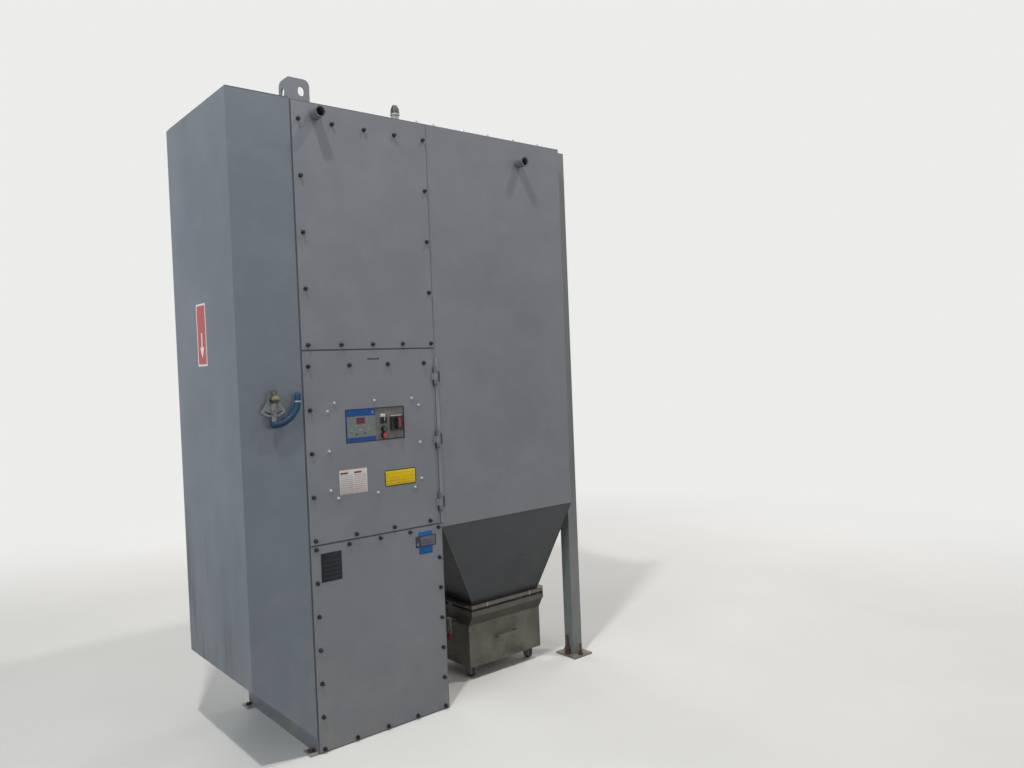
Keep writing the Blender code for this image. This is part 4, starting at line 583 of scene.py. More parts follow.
def hopper_coat(name):
    """The hopper's coat, darker as painted shade because it faces the floor, and powdered by what falls
    through its joints.
    """
    coat = Finish(name)
    # These tones are darker than the cabinet's coat: painted shade for a face that looks down.
    colour, gloss, peel = coat_layers(coat, screen(63, 65, 69), screen(75, 77, 81), screen(50, 52, 56))
    runs = coat.patches(0.5, 0.74, 12, 5, 0.6, coat.spread((1, 1, 0.2)))
    low = coat.step(coat.z, 0.72, 0.40)
    colour = coat.mix(runs * (0.08 + low * 0.28), colour, screen(98, 93, 86))
    top_weld = coat.step(abs(coat.z - 0.855), 0.004, 0.0)
    colour = coat.mix(top_weld * 0.5, colour, SOOT)
    coat.done(colour, gloss + runs * 0.15, 0, peel, 0.25, 0.0004, shine=0.35)


def galvanised(name, tone=(150, 153, 152), dirt=0.3):
    """Zinc-dipped sheet: spangle cells of differing shade, white bloom and handling dirt."""
    zinc = Finish(name)
    light = screen(*tone)
    dark = shaded(tone, 0.8)
    spangle = zinc.cells(70, "Color")
    shade = zinc.node("SeparateColor", {}, {"Color": spangle}, "Red")
    colour = zinc.mix(zinc.step(shade, 0.1, 0.9), light, dark)
    bloom = zinc.patches(0.55, 0.75, 11, 5, 0.65)
    colour = zinc.mix(bloom * 0.4, colour, screen(176, 177, 172))
    grime = zinc.patches(0.48, 0.7, 18, 6, 0.7) * dirt
    colour = zinc.mix(grime, colour, screen(74, 70, 62))
    gloss = 0.38 + shade * 0.14 + bloom * 0.2 + grime * 0.3
    metal = 0.75 - bloom * 0.3 - grime * 0.5
    zinc.done(colour, gloss, metal, zinc.noise(240, 2), 0.1, 0.0003)


def bin_zinc(name):
    """The bin's old zinc sheet, blotched with caked dust and scratched by handling."""
    zinc = Finish(name)
    blotch = zinc.patches(0.36, 0.68, 9, 6, 0.6)
    fine = zinc.patches(0.6, 0.68, 75, 5, 0.7)
    colour = zinc.mix(blotch, screen(108, 106, 96), screen(90, 88, 79))
    colour = zinc.mix(fine * 0.5, colour, screen(58, 56, 50))
    spots = zinc.step(zinc.cells(46), 0.2, 0.12) * zinc.patches(0.56, 0.6, 13, 2)
    colour = zinc.mix(spots * 0.6, colour, screen(54, 50, 42))
    # Painted shade: the shoulder under the lip is darkened.
    shoulder_shade = zinc.between(zinc.z, 0.286, 0.337, 0.004)
    colour = zinc.mix(shoulder_shade * 0.75, colour, screen(58, 54, 49))
    lip = zinc.between(zinc.z, 0.336, 0.366, 0.001)
    colour = zinc.mix(lip * 0.6, colour, screen(92, 84, 79))
    scratch = zinc.noise(30, 3, 0.6, zinc.spread((1, 1, 14), (0, 0.25, 0)))
    marks = zinc.step(scratch, 0.66, 0.72)
    colour = zinc.mix(marks * 0.45, colour, screen(158, 157, 150))
    floor_dirt = zinc.step(zinc.z, 0.13, 0.07)
    colour = zinc.mix(floor_dirt * 0.5 * blotch, colour, screen(48, 46, 41))
    gloss = 0.5 + blotch * 0.2 + fine * 0.1
    zinc.done(colour, gloss, 0.45 - blotch * 0.3, blotch + fine * 0.5, 0.18, 0.0006)


def strip_zinc(name, tone=(108, 102, 97)):
    """A rubbed flat bar of zinc with dull patches."""
    bar = Finish(name)
    patch = bar.patches(0.42, 0.7, 24, 5, 0.65)
    rubbed = bar.patches(0.5, 0.7, 60, 4, 0.6, bar.spread((0.12, 1, 1)))
    colour = bar.mix(patch * 0.5, screen(*tone), shaded(tone, 0.72))
    colour = bar.mix(rubbed * 0.3, colour, shaded(tone, 1.22))
    bar.done(colour, 0.42 + patch * 0.2, 0.5 - patch * 0.3, patch, 0.12, 0.0004)


def plated_steel(name, tone, rough):
    """Zinc-plated or turned steel with a fine grain and fingerprints."""
    steel = Finish(name)
    lines = steel.noise(160, 3, 0.6, steel.spread((1, 1, 30)))
    prints = steel.patches(0.5, 0.7, 26, 5, 0.6)
    colour = steel.mix(lines, shaded(tone, 0.86), screen(*tone))
    colour = steel.mix(prints * 0.25, colour, screen(92, 88, 80))
    gloss = rough + lines * 0.1 + prints * 0.15
    steel.done(colour, gloss, 0.9 - prints * 0.2, lines, 0.08, 0.0002)


def dark_enamel(name, tone, dust=0.35):
    """Dark enamel with dust specks and rubbed spots."""
    enamel = Finish(name)
    patch = enamel.patches(0.46, 0.7, 20, 5, 0.6)
    colour = enamel.mix(patch * 0.4, screen(*tone), shaded(tone, 1.5))
    specks = enamel.patches(0.56, 0.68, 150, 3, 0.7)
    colour = enamel.mix(specks * dust, colour, screen(126, 120, 110))
    enamel.done(colour, 0.48 + patch * 0.2, 0, enamel.noise(420, 2), 0.16, 0.0003)


def blackened(name):
    """Black-oxide screws, worn grey in patches."""
    black = Finish(name)
    worn = black.patches(0.5, 0.7, 260, 3, 0.6)
    colour = black.mix(worn * 0.5, screen(26, 26, 29), screen(66, 66, 68))
    black.done(colour, 0.36 + worn * 0.2, 0.2, worn, 0.1, 0.0002, shine=0.35)


def rubber(name, tone=(30, 30, 31), rough=0.78):
    """Rubber with a dusty bloom."""
    compound = Finish(name)
    bloom = compound.patches(0.42, 0.72, 32, 5, 0.65)
    colour = compound.mix(bloom * 0.5, screen(*tone), screen(70, 67, 62))
    grain = compound.noise(600, 2)
    compound.done(colour, rough - bloom * 0.06, 0, grain, 0.2, 0.0003, shine=0.25)


def moulded(name, tone, rough=0.4, worn=(1.35, 0.3)):
    """Moulded plastic with a fine spark-eroded grain and faded, handled spots."""
    gain, amount = worn
    plastic = Finish(name)
    handled = plastic.patches(0.45, 0.72, 70, 4, 0.6)
    colour = plastic.mix(handled * amount, screen(*tone), shaded(tone, gain, 8))
    grain = plastic.cells(1500) + plastic.noise(900, 2) * 0.5
    plastic.done(colour, rough + handled * 0.12, 0, grain, 0.12, 0.0001, shine=0.35)


def filter_media(name):
    """Pleated filter paper between two end caps, the folds running along the cartridge, with painted shade
    in the folds.
    """
    low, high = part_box(name)
    centre = (low + high) / 2
    media = Finish(name)
    angle = media.maths("ARCTAN2", media.y - centre.y, media.z - centre.z)
    fold = media.wave(angle * 84)
    stain = media.patches(0.4, 0.75, 5, 5, 0.6)
    paper = media.mix(stain * 0.35, screen(188, 182, 168), screen(142, 136, 124))
    # Painted shade: the paper is darkened in the valleys of the folds.
    paper = media.mix(media.step(fold, 0.5, -0.9) * 0.7, paper, screen(74, 70, 64))
    caps = 1 - media.between(media.x, low.x + 0.022, high.x - 0.022)
    zinc = media.mix(stain * 0.4, screen(150, 152, 150), screen(112, 112, 108))
    colour = media.mix(caps, paper, zinc)
    media.done(colour, 0.88 - caps * 0.42, caps * 0.7, fold * (1 - caps), 0.5, 0.002)


def damper_grip_sleeve(name):
    """The blue dipped sleeve of the damper's grip, darker at both ends, with a pale tie band."""
    sleeve = Finish(name)
    handled = sleeve.patches(0.42, 0.7, 55, 5, 0.6)
    low_end = sleeve.step(sleeve.z, 1.46, 1.405)
    colour = sleeve.mix(handled * 0.35, screen(6, 58, 88), screen(18, 74, 104))
    colour = sleeve.mix(low_end * 0.7, colour, screen(8, 32, 58))
    top_end = sleeve.step(sleeve.z, 1.524, 1.534)
    colour = sleeve.mix(top_end * 0.6, colour, screen(8, 32, 58))
    band = sleeve.between(sleeve.z, 1.492, 1.497, 0.0004)
    colour = sleeve.mix(band * 0.8, colour, screen(176, 182, 186))
    grime = sleeve.patches(0.6, 0.7, 140, 4, 0.7)
    colour = sleeve.mix(grime * 0.3, colour, screen(20, 30, 42))
    sleeve.done(colour, 0.46 + handled * 0.2, 0, sleeve.noise(380, 3), 0.14, 0.0003, shine=0.3)


def damper_arm_metal(name):
    """Plated arm with a brassy boss and eye at the damper's axis; the boss's lower half is darker as painted
    shade.
    """
    arm = Finish(name)
    away = arm.away_from(arm.x, arm.z, BOSS_CENTRE)
    boss = arm.step(away, BOSS_RADIUS + 0.0008, BOSS_RADIUS) * arm.step(arm.y, -0.3945, -0.3949)
    eye = arm.step(arm.z, 1.5225, 1.5235)
    brass = arm.larger(boss, eye)
    grime = arm.patches(0.46, 0.66, 90, 5, 0.65)
    plate = arm.mix(grime * 0.5, screen(116, 118, 118), screen(78, 78, 74))
    # Tarnish from grime, and painted shade darkening the boss's lower half.
    tarnish_and_shade = arm.larger(grime * 0.5, arm.step(arm.z, BOSS_CENTRE[1] + 0.004, BOSS_CENTRE[1] - 0.006) * 0.9)
    metal = arm.mix(tarnish_and_shade, screen(132, 130, 98), screen(40, 40, 30))
    metal = arm.mix(eye * 0.7, metal, screen(62, 62, 60))
    colour = arm.mix(brass, plate, metal)
    arm.done(colour, 0.32 + grime * 0.22, 0.85 - grime * 0.25, grime, 0.12, 0.0003)


def sector_metal(name):
    """The damper's grey sector plate, bright along the slot and the rim."""
    sector = Finish(name)
    away = sector.away_from(sector.x, sector.z, BOSS_CENTRE)
    rim = sector.step(away, 0.0705, 0.0725)
    slot = sector.step(abs(away - 0.061), 0.0072, 0.005)
    rubbed = sector.larger(rim, slot) * sector.patches(0.35, 0.6, 120, 4, 0.6)
    patch = sector.patches(0.42, 0.7, 30, 4, 0.6)
    colour = sector.mix(patch * 0.5, screen(106, 109, 112), screen(84, 86, 88))
    colour = sector.mix(rubbed * 0.5, colour, screen(148, 149, 146))
    sector.done(colour, 0.45 - rubbed * 0.1, rubbed * 0.4, sector.noise(300, 2), 0.12, 0.0003)


def zoned(name, low_tone, high_tone, height, low_metal, high_metal):
    """Two finishes on one solid: one below a height and one above it."""
    both = Finish(name)
    upper = both.step(both.z, height - 0.0006, height + 0.0006)
    dirt = both.patches(0.44, 0.7, 60, 5, 0.65)
    below = both.mix(dirt * 0.45, screen(*low_tone), shaded(low_tone, 0.6))
    above = both.mix(dirt * 0.45, screen(*high_tone), shaded(high_tone, 0.6))
    colour = both.mix(upper, below, above)
    metal = low_metal + upper * (high_metal - low_metal)
    both.done(colour, 0.45 + dirt * 0.2, metal, both.noise(260, 3), 0.14, 0.0003)


def leg_coat(name):
    """The leg's coat, with rusty anchors and a floor-worn base plate."""
    tones = (screen(112, 117, 117), screen(128, 132, 131), screen(88, 92, 92))
    leg, colour, gloss, peel = dusty_coat(name, 0.6, 0.5, *tones)
    rust = leg.mix(leg.patches(0.4, 0.65, 80, 5, 0.7), RUST, RUST_LIGHT)
    plate = leg.step(leg.z, 0.0165, 0.0145)
    colour = leg.mix(plate * 0.8, colour, screen(122, 110, 98))
    edge = plate * leg.patches(0.5, 0.66, 28, 5, 0.65)
    colour = leg.mix(edge * 0.6, colour, rust)
    beside = leg.larger(leg.step(leg.y, -0.3151, -0.3155), leg.step(leg.y, -0.2499, -0.2495))
    beside_back = leg.larger(leg.step(leg.y, 0.2499, 0.2495), leg.step(leg.y, 0.3151, 0.3155))
    front = leg.step(leg.y, 0.01, -0.01)
    off_leg = front * beside + (1 - front) * beside_back
    anchors = off_leg * (1 - plate)
    colour = leg.mix(anchors, colour, rust)
    leg.painted(colour, gloss + anchors * 0.3, peel)


def wheel_rubber(name):
    """A caster's hard rubber tread on a pale nylon hub."""
    low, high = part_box(name)
    centre = (low + high) / 2
    wheel = Finish(name)
    away = wheel.away_from(wheel.y, wheel.z, (centre.y, centre.z))
    tread = wheel.step(away, 0.0165, 0.0175)
    scuffs = wheel.patches(0.45, 0.65, 140, 5, 0.7)
    hub = wheel.mix(scuffs * 0.5, screen(112, 110, 104), screen(66, 63, 58))
    rim = wheel.mix(scuffs * 0.5, screen(34, 33, 33), screen(72, 69, 63))
    colour = wheel.mix(tread, hub, rim)
    wheel.done(colour, 0.6 + scuffs * 0.2, 0, scuffs, 0.16, 0.0004)


def anchor_rust(name):
    """Rusty anchors, rubbed bright in places."""
    metal = Finish(name)
    flakes = metal.patches(0.4, 0.66, 110, 6, 0.7)
    colour = metal.mix(flakes, RUST, RUST_LIGHT)
    worn = metal.patches(0.62, 0.7, 60, 4, 0.6)
    colour = metal.mix(worn * 0.5, colour, screen(128, 122, 116))
    metal.done(colour, 0.78 - worn * 0.3, worn * 0.6, flakes, 0.4, 0.0008)


def controller_membrane(name):
    """The controller's printed membrane: two blue bands, a thin blue frame and a grey field."""
    low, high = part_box(name)
    skin = Finish(name)
    top = skin.step(skin.z, high.z - 0.0305, high.z - 0.0295)
    foot = skin.step(skin.z, low.z + 0.0205, low.z + 0.0195)
    side = skin.step(skin.x, low.x + 0.0042, low.x + 0.0035)
    blue = skin.larger(skin.larger(top, foot), side)
    pale = top * skin.between(skin.x, high.x - 0.018, high.x - 0.006)
    pale = pale * skin.between(skin.z, high.z - 0.0225, high.z - 0.0085)
    finger = skin.patches(0.45, 0.7, 60, 4, 0.6)
    field = skin.mix(finger * 0.35, screen(104, 110, 108), screen(122, 127, 124))
    band = skin.mix(finger * 0.3, screen(16, 66, 122), screen(30, 84, 138))
    colour = skin.mix(blue, field, band)
    colour = skin.mix(pale * 0.8, colour, screen(104, 108, 170))
    skin.done(colour, 0.36 + finger * 0.14, 0, skin.noise(500, 2), 0.06, 0.0002, shine=0.25)


def printed(name, field, border, place, edge, bars=(), rules=None):
    """A sticker: a plain field in a border, plain bars of colour, and plain ruled lines."""
    left, right, bottom, top = place
    sticker = Finish(name)
    inside = sticker.between(sticker.x, left + edge, right - edge, 0.0004)
    inside = inside * sticker.between(sticker.z, bottom + edge, top - edge, 0.0004)
    aged = sticker.patches(0.4, 0.72, 35, 5, 0.62)
    paper = sticker.mix(aged * 0.4, screen(*field), shaded(field, 0.86))
    if rules:
        pitch, depth, tone, first_rule = rules
        lines = sticker.step(sticker.wave(sticker.z * (math.tau / pitch)), 0.35, 0.7)
        ragged = sticker.patches(0.36, 0.5, 240, 2, 0.6, sticker.spread((1, 1, 0.5)))
        middle = (left + right) / 2
        columns = 1 - sticker.between(sticker.x, middle - 0.004, middle + 0.004)
        margin = sticker.between(sticker.x, left + 0.006, right - 0.006)
        under = sticker.step(sticker.z, first_rule, first_rule - 0.001)
        paper = sticker.mix(lines * ragged * columns * margin * under * depth, paper, screen(*tone))
    for start, end, foot, head, tone in bars:
        mark = sticker.between(sticker.x, start, end) * sticker.between(sticker.z, foot, head)
        paper = sticker.mix(mark, paper, screen(*tone))
    colour = sticker.mix(inside, screen(*border), paper)
    sticker.done(colour, 0.4 + aged * 0.2, 0, sticker.noise(200, 3), 0.08, 0.0002, shine=0.22)


def disconnect_handle_finish(name):
    """The disconnect's handle: red at its upper right, black elsewhere, polished by hands."""
    handle = Finish(name)
    upper = handle.step(handle.z, 1.3535, 1.3550) * handle.step(handle.x, -0.2450, -0.2442)
    handled = handle.patches(0.42, 0.7, 90, 4, 0.6)
    red = handle.mix(handled * 0.4, screen(134, 20, 30), screen(170, 58, 62))
    black = handle.mix(handled * 0.4, screen(22, 22, 24), screen(46, 44, 46))
    colour = handle.mix(upper, black, red)
    handle.done(colour, 0.26 + handled * 0.14, 0, handle.noise(500, 2), 0.06, 0.0002)


def button_finish(name, cap, place):
    """A push button's coloured cap in its black bezel."""
    *centre, radius = place
    button = Finish(name)
    away = button.away_from(button.x, button.z, centre)
    handled = button.patches(0.42, 0.7, 120, 4, 0.6)
    faded = button.mix(handled * 0.3, screen(*cap), shaded(cap, 1.3, 10))
    colour = button.mix(button.step(away, radius - 0.0003, radius + 0.0003), faded, screen(24, 25, 27))
    button.done(colour, 0.3 + handled * 0.15, 0, button.noise(700, 2), 0.06, 0.0001, shine=0.4)


def knob_finish(name):
    """The selector's black knob with its pale index line."""
    knob = Finish(name)
    handled = knob.patches(0.42, 0.7, 130, 4, 0.6)
    black = knob.mix(handled * 0.4, screen(26, 26, 28), screen(56, 55, 56))
    index = knob.between(knob.x, -0.3095, -0.3067, 0.0002) * knob.step(knob.y, -0.3862, -0.3868)
    index = index * knob.step(knob.z, 1.3861, 1.3866)
    colour = knob.mix(index * 0.9, black, screen(182, 180, 174))
    knob.done(colour, 0.34 + handled * 0.14, 0, knob.noise(700, 2), 0.06, 0.0001)


def hinge_rail_coat(name):
    """The hinge rail's coat, with painted shade along both edges and in the slot and pin gap beside each
    hinge.
    """
    rail = Finish(name)
    tones = (screen(118, 120, 129), screen(132, 134, 142), screen(98, 100, 108))
    colour, gloss, peel = coat_layers(rail, *tones)
    # Painted shade along the rail's two edges.
    edges = rail.larger(rail.step(rail.x, -0.0195, -0.0210), rail.step(rail.x, -0.0022, -0.0010))
    colour = rail.mix(edges * 0.6, colour, SEAM_SHADE)
    for height in HINGE_HEIGHTS:
        # Painted shade in the slot and pin gap at each hinge.
        slot = rail.between(rail.z, height - 0.028, height + 0.028) * rail.step(rail.x, -0.0055, -0.0048)
        pin = rail.between(rail.z, height - 0.040, height - 0.034) * rail.step(rail.x, -0.0120, -0.0130)
        colour = rail.mix(rail.larger(slot, pin) * 0.85, colour, SLOT_SHADE)
    rail.painted(colour, gloss, peel)


def tape_blue(name):
    """Blue adhesive tape with faint creases, darker in them as painted shade."""
    tape = Finish(name)
    crease = tape.patches(0.44, 0.66, 26, 5, 0.62, tape.spread((1, 1, 2.6)))
    # The darker blue in the creases is painted shade.
    colour = tape.mix(crease * 0.5, screen(8, 86, 146), screen(14, 68, 126))
    rim = tape.step(abs(tape.x - TAPE_MIDDLE), 0.034, 0.037)
    colour = tape.mix(rim * 0.4, colour, screen(14, 54, 88))
    tape.done(colour, 0.4 + crease * 0.18, 0, crease, 0.2, 0.0004, shine=0.25)


def glow_digits(name):
    """The controller's dark red window with four dim glowing digit fields."""
    window = Finish(name)
    cell = window.wave(window.x * 640)
    lit = window.step(cell, -0.2, 0.3) * window.between(window.z, 1.386, 1.399, 0.0008)
    colour = window.mix(lit, screen(58, 9, 18), screen(104, 14, 30))
    glow = window.mix(lit, (0, 0, 0, 1), screen(66, 4, 14))
    window.done(colour, 0.12, 0, window.noise(90, 2), 0.03, 0.0002, glow)


# Studio

def set_camera():
    """The camera that took the photograph."""
    camera = bpy.data.objects.new("photo_camera", bpy.data.cameras.new("photo_camera"))
    bpy.context.scene.collection.objects.link(camera)
    camera.data.lens = CAMERA_LENS
    right = CAMERA_RIGHT.normalized()
    back = right.cross(CAMERA_UP).normalized()
    up = back.cross(right)
    turn = Matrix((right, up, back)).transposed().to_4x4()
    camera.matrix_world = Matrix.Translation(CAMERA_PLACE) @ turn
    bpy.context.scene.camera = camera


def floor_finish():
    """Pale concrete that keeps the shadow near the object and meets the white background far off."""
    slab = Finish("studio_floor")
    patch = slab.patches(0.35, 0.7, 0.9, 5, 0.6)
    colour = slab.mix(patch * 0.25, screen(214, 213, 210), screen(198, 197, 194))
    stone = slab.node("BsdfDiffuse", {}, {"Color": colour})
    bright = slab.node("Emission", {}, {"Color": BACKGROUND, "Strength": 1})
    away = slab.node("VectorMath", {"operation": "LENGTH"}, {"Vector": slab.place}, "Value")
    far = slab.step(away, *FLOOR_FADE) * slab.in_view()
    shown = slab.node("MixShader", {}, {"Fac": far, "Shader": stone, "Shader_001": bright})
    slab.node("OutputMaterial", {}, {"Surface": shown})
    return slab.material


def set_floor():
    bpy.ops.mesh.primitive_plane_add(size=FLOOR_SIZE)
    floor = bpy.context.object
    floor.name = "studio_floor"
    floor.data.materials.append(floor_finish())


def add_lamps():
    for name, place, size, power, colour in LAMPS:
        lamp = bpy.data.lights.new(name, "AREA")
        lamp.size = size
        lamp.energy = power
        lamp.color = colour
        holder = bpy.data.objects.new(name, lamp)
        holder.location = place
        holder.rotation_euler = (STUDIO_AIM - Vector(place)).to_track_quat("-Z", "Y").to_euler()
        bpy.context.scene.collection.objects.link(holder)


def set_world():
    """Soft white light all round, and the pale background that the camera sees."""
    bpy.context.scene.view_settings.view_transform = "Standard"
    world = bpy.data.worlds.new("studio")
    bpy.context.scene.world = world
    world.use_nodes = True
    sky = Shader(world.node_tree)
    soft = sky.node("Background", {}, {"Color": (1, 1, 1, 1), "Strength": WORLD_LIGHT})
    pale = sky.node("Background", {}, {"Color": BACKGROUND})
    both = sky.node("MixShader", {}, {"Fac": sky.in_view(), "Shader": soft, "Shader_001": pale})
    sky.node("OutputWorld", {}, {"Surface": both})


# Modelling by hand

def choose(piece):
    bpy.ops.object.select_all(action="DESELECT")
    piece.select_set(True)
    bpy.context.view_layer.objects.active = piece


def settle(piece, name):
    """Puts the place and size of a new piece into its mesh."""
    piece.name = name
    choose(piece)
    bpy.ops.object.transform_apply(location=True, rotation=True, scale=True)
    return piece


def add_round(name, radius, length, centre, sides):
    """A cylinder that faces forwards."""
    bpy.ops.object.select_all(action="DESELECT")
    bpy.ops.mesh.primitive_cylinder_add(
        vertices=sides, radius=radius, depth=length, location=centre, rotation=FACING_FRONT
    )
    return settle(bpy.context.object, name)


def add_block(name, low, high):
    bpy.ops.object.select_all(action="DESELECT")
    low = Vector(low)
    high = Vector(high)
    bpy.ops.mesh.primitive_cube_add(size=1, location=(low + high) / 2, scale=high - low)
    return settle(bpy.context.object, name)


def pick(piece, kind, wanted):
    """Opens the piece for editing with only the wanted faces or edges selected."""
    choose(piece)
    bpy.ops.object.mode_set(mode="EDIT")
    bpy.ops.mesh.select_mode(type=kind)
    bpy.ops.mesh.select_all(action="DESELECT")
    mesh = bmesh.from_edit_mesh(piece.data)
    parts = mesh.faces if kind == "FACE" else mesh.edges
    for part in parts:
        part.select_set(bool(wanted(part)))
    mesh.select_flush_mode()
    bmesh.update_edit_mesh(piece.data)


def close():
    bpy.ops.object.mode_set(mode="OBJECT")


def face_outwards():
    bpy.ops.mesh.select_all(action="SELECT")
    bpy.ops.mesh.normals_make_consistent(inside=False)


def faces_front(face):
    return face.normal.y < -0.9


def runs_along(axis):
    """A test for edges that run along one axis: 0 is X, 1 is Y and 2 is Z."""
    def test(edge):
        way = edge.verts[1].co - edge.verts[0].co
        return abs(way[axis]) > 0.99 * way.length
    return test


def lies_past(axis, limit):
    """A test for edges with both ends past a limit on one axis."""
    def test(edge):
        return all(corner.co[axis] > limit for corner in edge.verts)
    return test


def crown(piece, inset, rise):
    """Draws the front face in and out, as a chamfer."""
    pick(piece, "FACE", faces_front)
    bpy.ops.mesh.inset(thickness=inset, depth=0)
    bpy.ops.transform.translate(value=(0, -rise, 0))
    close()


def sink(piece, inset, depth):
    """Draws the front face in and pushes it back with a wall."""
    pick(piece, "FACE", faces_front)
    bpy.ops.mesh.inset(thickness=inset, depth=0)
    bpy.ops.mesh.extrude_region_move(TRANSFORM_OT_translate={"value": (0, depth, 0)})
    close()


def round_edges(piece, wanted, width, segments=2):
    pick(piece, "EDGE", wanted)
    bpy.ops.mesh.bevel(offset=width, segments=segments, affect="EDGES")
    close()


def drill(piece, spot, radius):
    """Cuts a round hole from front to back through a thin piece."""
    x, z = spot
    bit = add_round("drill_bit", radius, DRILL_LENGTH, (x, PANEL_FACE, z), 32)
    choose(piece)
    cut = piece.modifiers.new("hole", "BOOLEAN")
    cut.operation = "DIFFERENCE"
    cut.object = bit
    bpy.ops.object.modifier_apply(modifier=cut.name)
    bpy.data.objects.remove(bit)


def on_front_rim(y):
    """A test for the sharp edges round a front face at this depth."""
    def test(edge):
        flat = all(abs(corner.co.y - y) < SAME_PLACE for corner in edge.verts)
        return flat and edge.calc_face_angle(0) > SHARP_ANGLE
    return test


def add_ring(name, seat, inner, outer):
    """A flat-faced collar around a round control, drawn from one circle and raised forwards."""
    bpy.ops.object.select_all(action="DESELECT")
    bpy.ops.mesh.primitive_circle_add(vertices=32, radius=outer, location=seat, rotation=FACING_FRONT)
    ring = settle(bpy.context.object, name)
    pick(ring, "EDGE", lambda edge: True)
    bpy.ops.mesh.extrude_edges_move()
    share = inner / outer
    bpy.ops.transform.resize(value=(share, 1, share), center_override=seat)
    bpy.ops.mesh.select_all(action="SELECT")
    bpy.ops.mesh.extrude_region_move(TRANSFORM_OT_translate={"value": (0, -RING_DEPTH, 0)})
    face_outwards()
    close()
    round_edges(ring, on_front_rim(seat[1] - RING_DEPTH), RING_DEPTH * 0.2)
    return ring


def open_middle(piece, border):
    """Turns a flat block into a frame: its front and back are drawn in, opened and bridged."""
    pick(piece, "FACE", lambda face: abs(face.normal.y) > 0.9)
    bpy.ops.mesh.inset(thickness=border, depth=0)
    bpy.ops.mesh.delete(type="FACE")
    close()
    pick(piece, "EDGE", lambda edge: edge.is_boundary)
    bpy.ops.mesh.bridge_edge_loops()
    face_outwards()
    close()


def gather(pieces, name):
    bpy.ops.object.select_all(action="DESELECT")
    for piece in pieces:
        piece.select_set(True)
    bpy.context.view_layer.objects.active = pieces[0]
    if len(pieces) > 1:
        bpy.ops.object.join()
    pieces[0].name = name
    return pieces[0]


def copies(pattern, name, spots, turn=FRONT_TURN, twist=PATTERN_TWIST):
    """Joins copies of a pattern modelled at the origin, set at the spots, and removes the pattern."""
    made = []
    for number, spot in enumerate(spots):
        copy = pattern.copy()
        copy.data = pattern.data.copy()
        bpy.context.scene.collection.objects.link(copy)
        own_turn = Matrix.Rotation(number * twist, 4, "Y")
        copy.data.transform(Matrix.Translation(Vector(spot)) @ turn @ own_turn)
        made.append(copy)
    bpy.data.objects.remove(pattern)
    return gather(made, name)


def fit(piece, finish, body):
    """Gives a finished piece its finish, smooth shading and its body."""
    piece.data.materials.clear()
    piece.data.materials.append(Finish.made[finish])
    choose(piece)
    bpy.ops.object.shade_smooth_by_angle(angle=SMOOTH_ANGLE)
    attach(piece, body)


# Fasteners

def model_bolt(sizes):
    """A hex head on its washer, seated at the origin and facing forwards."""
    radius, height, washer_radius = sizes
    washer = add_round("washer", washer_radius, SEAT, (0, -SEAT / 2, 0), 16)
    crown(washer, washer_radius * 0.1, SEAT * 0.3)
    head = add_round("head", radius, height, (0, -SEAT - height / 2, 0), 6)
    crown(head, radius * 0.16, height * 0.14)
    return gather([washer, head], "bolt_pattern")


def model_screw(sizes):
    """A domed screw with a socket, seated at the origin and facing forwards."""
    radius, height, washer_radius = sizes
    washer = add_round("washer", washer_radius, SEAT / 2, (0, -SEAT / 4, 0), 14)
    crown(washer, washer_radius * 0.12, SEAT * 0.2)
    head = add_round("head", radius, height * 0.5, (0, -SEAT / 2 - height * 0.25, 0), 14)
    crown(head, radius * 0.18, height * 0.3)
    crown(head, radius * 0.26, height * 0.2)
    sink(head, radius * 0.2, height * 0.35)
    return gather([washer, head], "screw_pattern")


def model_anchor_nut(sizes):
    """A nut and washer for an upright anchor, seated at the origin and facing forwards."""
    radius, height, washer_radius = sizes
    washer = add_round("washer", washer_radius, SEAT * 2, (0, -SEAT, 0), 20)
    crown(washer, washer_radius * 0.06, SEAT * 0.4)
    nut = add_round("nut", radius, height, (0, -SEAT * 2 - height / 2, 0), 6)
    crown(nut, radius * 0.14, height * 0.1)
    return gather([washer, nut], "nut_pattern")


def border_spots(columns, rows, sides):
    """Places along a sheet's border: all of its top and bottom row, and the sides' ends of the others."""
    spots = [(x, PANEL_FACE, z) for z in (rows[0], rows[-1]) for x in columns]
    return spots + [(columns[side], PANEL_FACE, z) for z in rows[1:-1] for side in sides]


def add_panel_bolts():
    for name, body, columns, rows, sides in PANEL_BOLTS:
        bolts = copies(model_bolt(PANEL_BOLT), name, border_spots(columns, rows, sides))
        fit(bolts, "black_screw", body)


def add_bright_screws():
    """The control door's screws, the roof's edge bolts and the bolts of the inlet's flange."""
    spots = [(x, PANEL_FACE, z) for x, z in DOOR_SCREW_SPOTS]
    screws = copies(model_screw(DOOR_SCREW), "door_screws", spots)
    fit(screws, "bright_screw", "control_door")
    spots = [(x, y, ROOF) for x in ROOF_BOLT_SPOTS for y in ROOF_BOLT_LINES]
    bolts = copies(model_bolt(ROOF_BOLT), "roof_edge_bolts", spots, TOP_TURN)
    fit(bolts, "bright_screw", "cabinet")
    x, height, circle, count = INLET_FLANGE
    spots = []
    for number in range(count):
        angle = math.tau * (number + 0.5) / count
        spots.append((x, circle * math.cos(angle), height + circle * math.sin(angle)))
    bolts = copies(model_bolt(FLANGE_BOLT), "inlet_flange_bolts", spots, RIGHT_TURN)
    fit(bolts, "bright_screw", "cabinet")


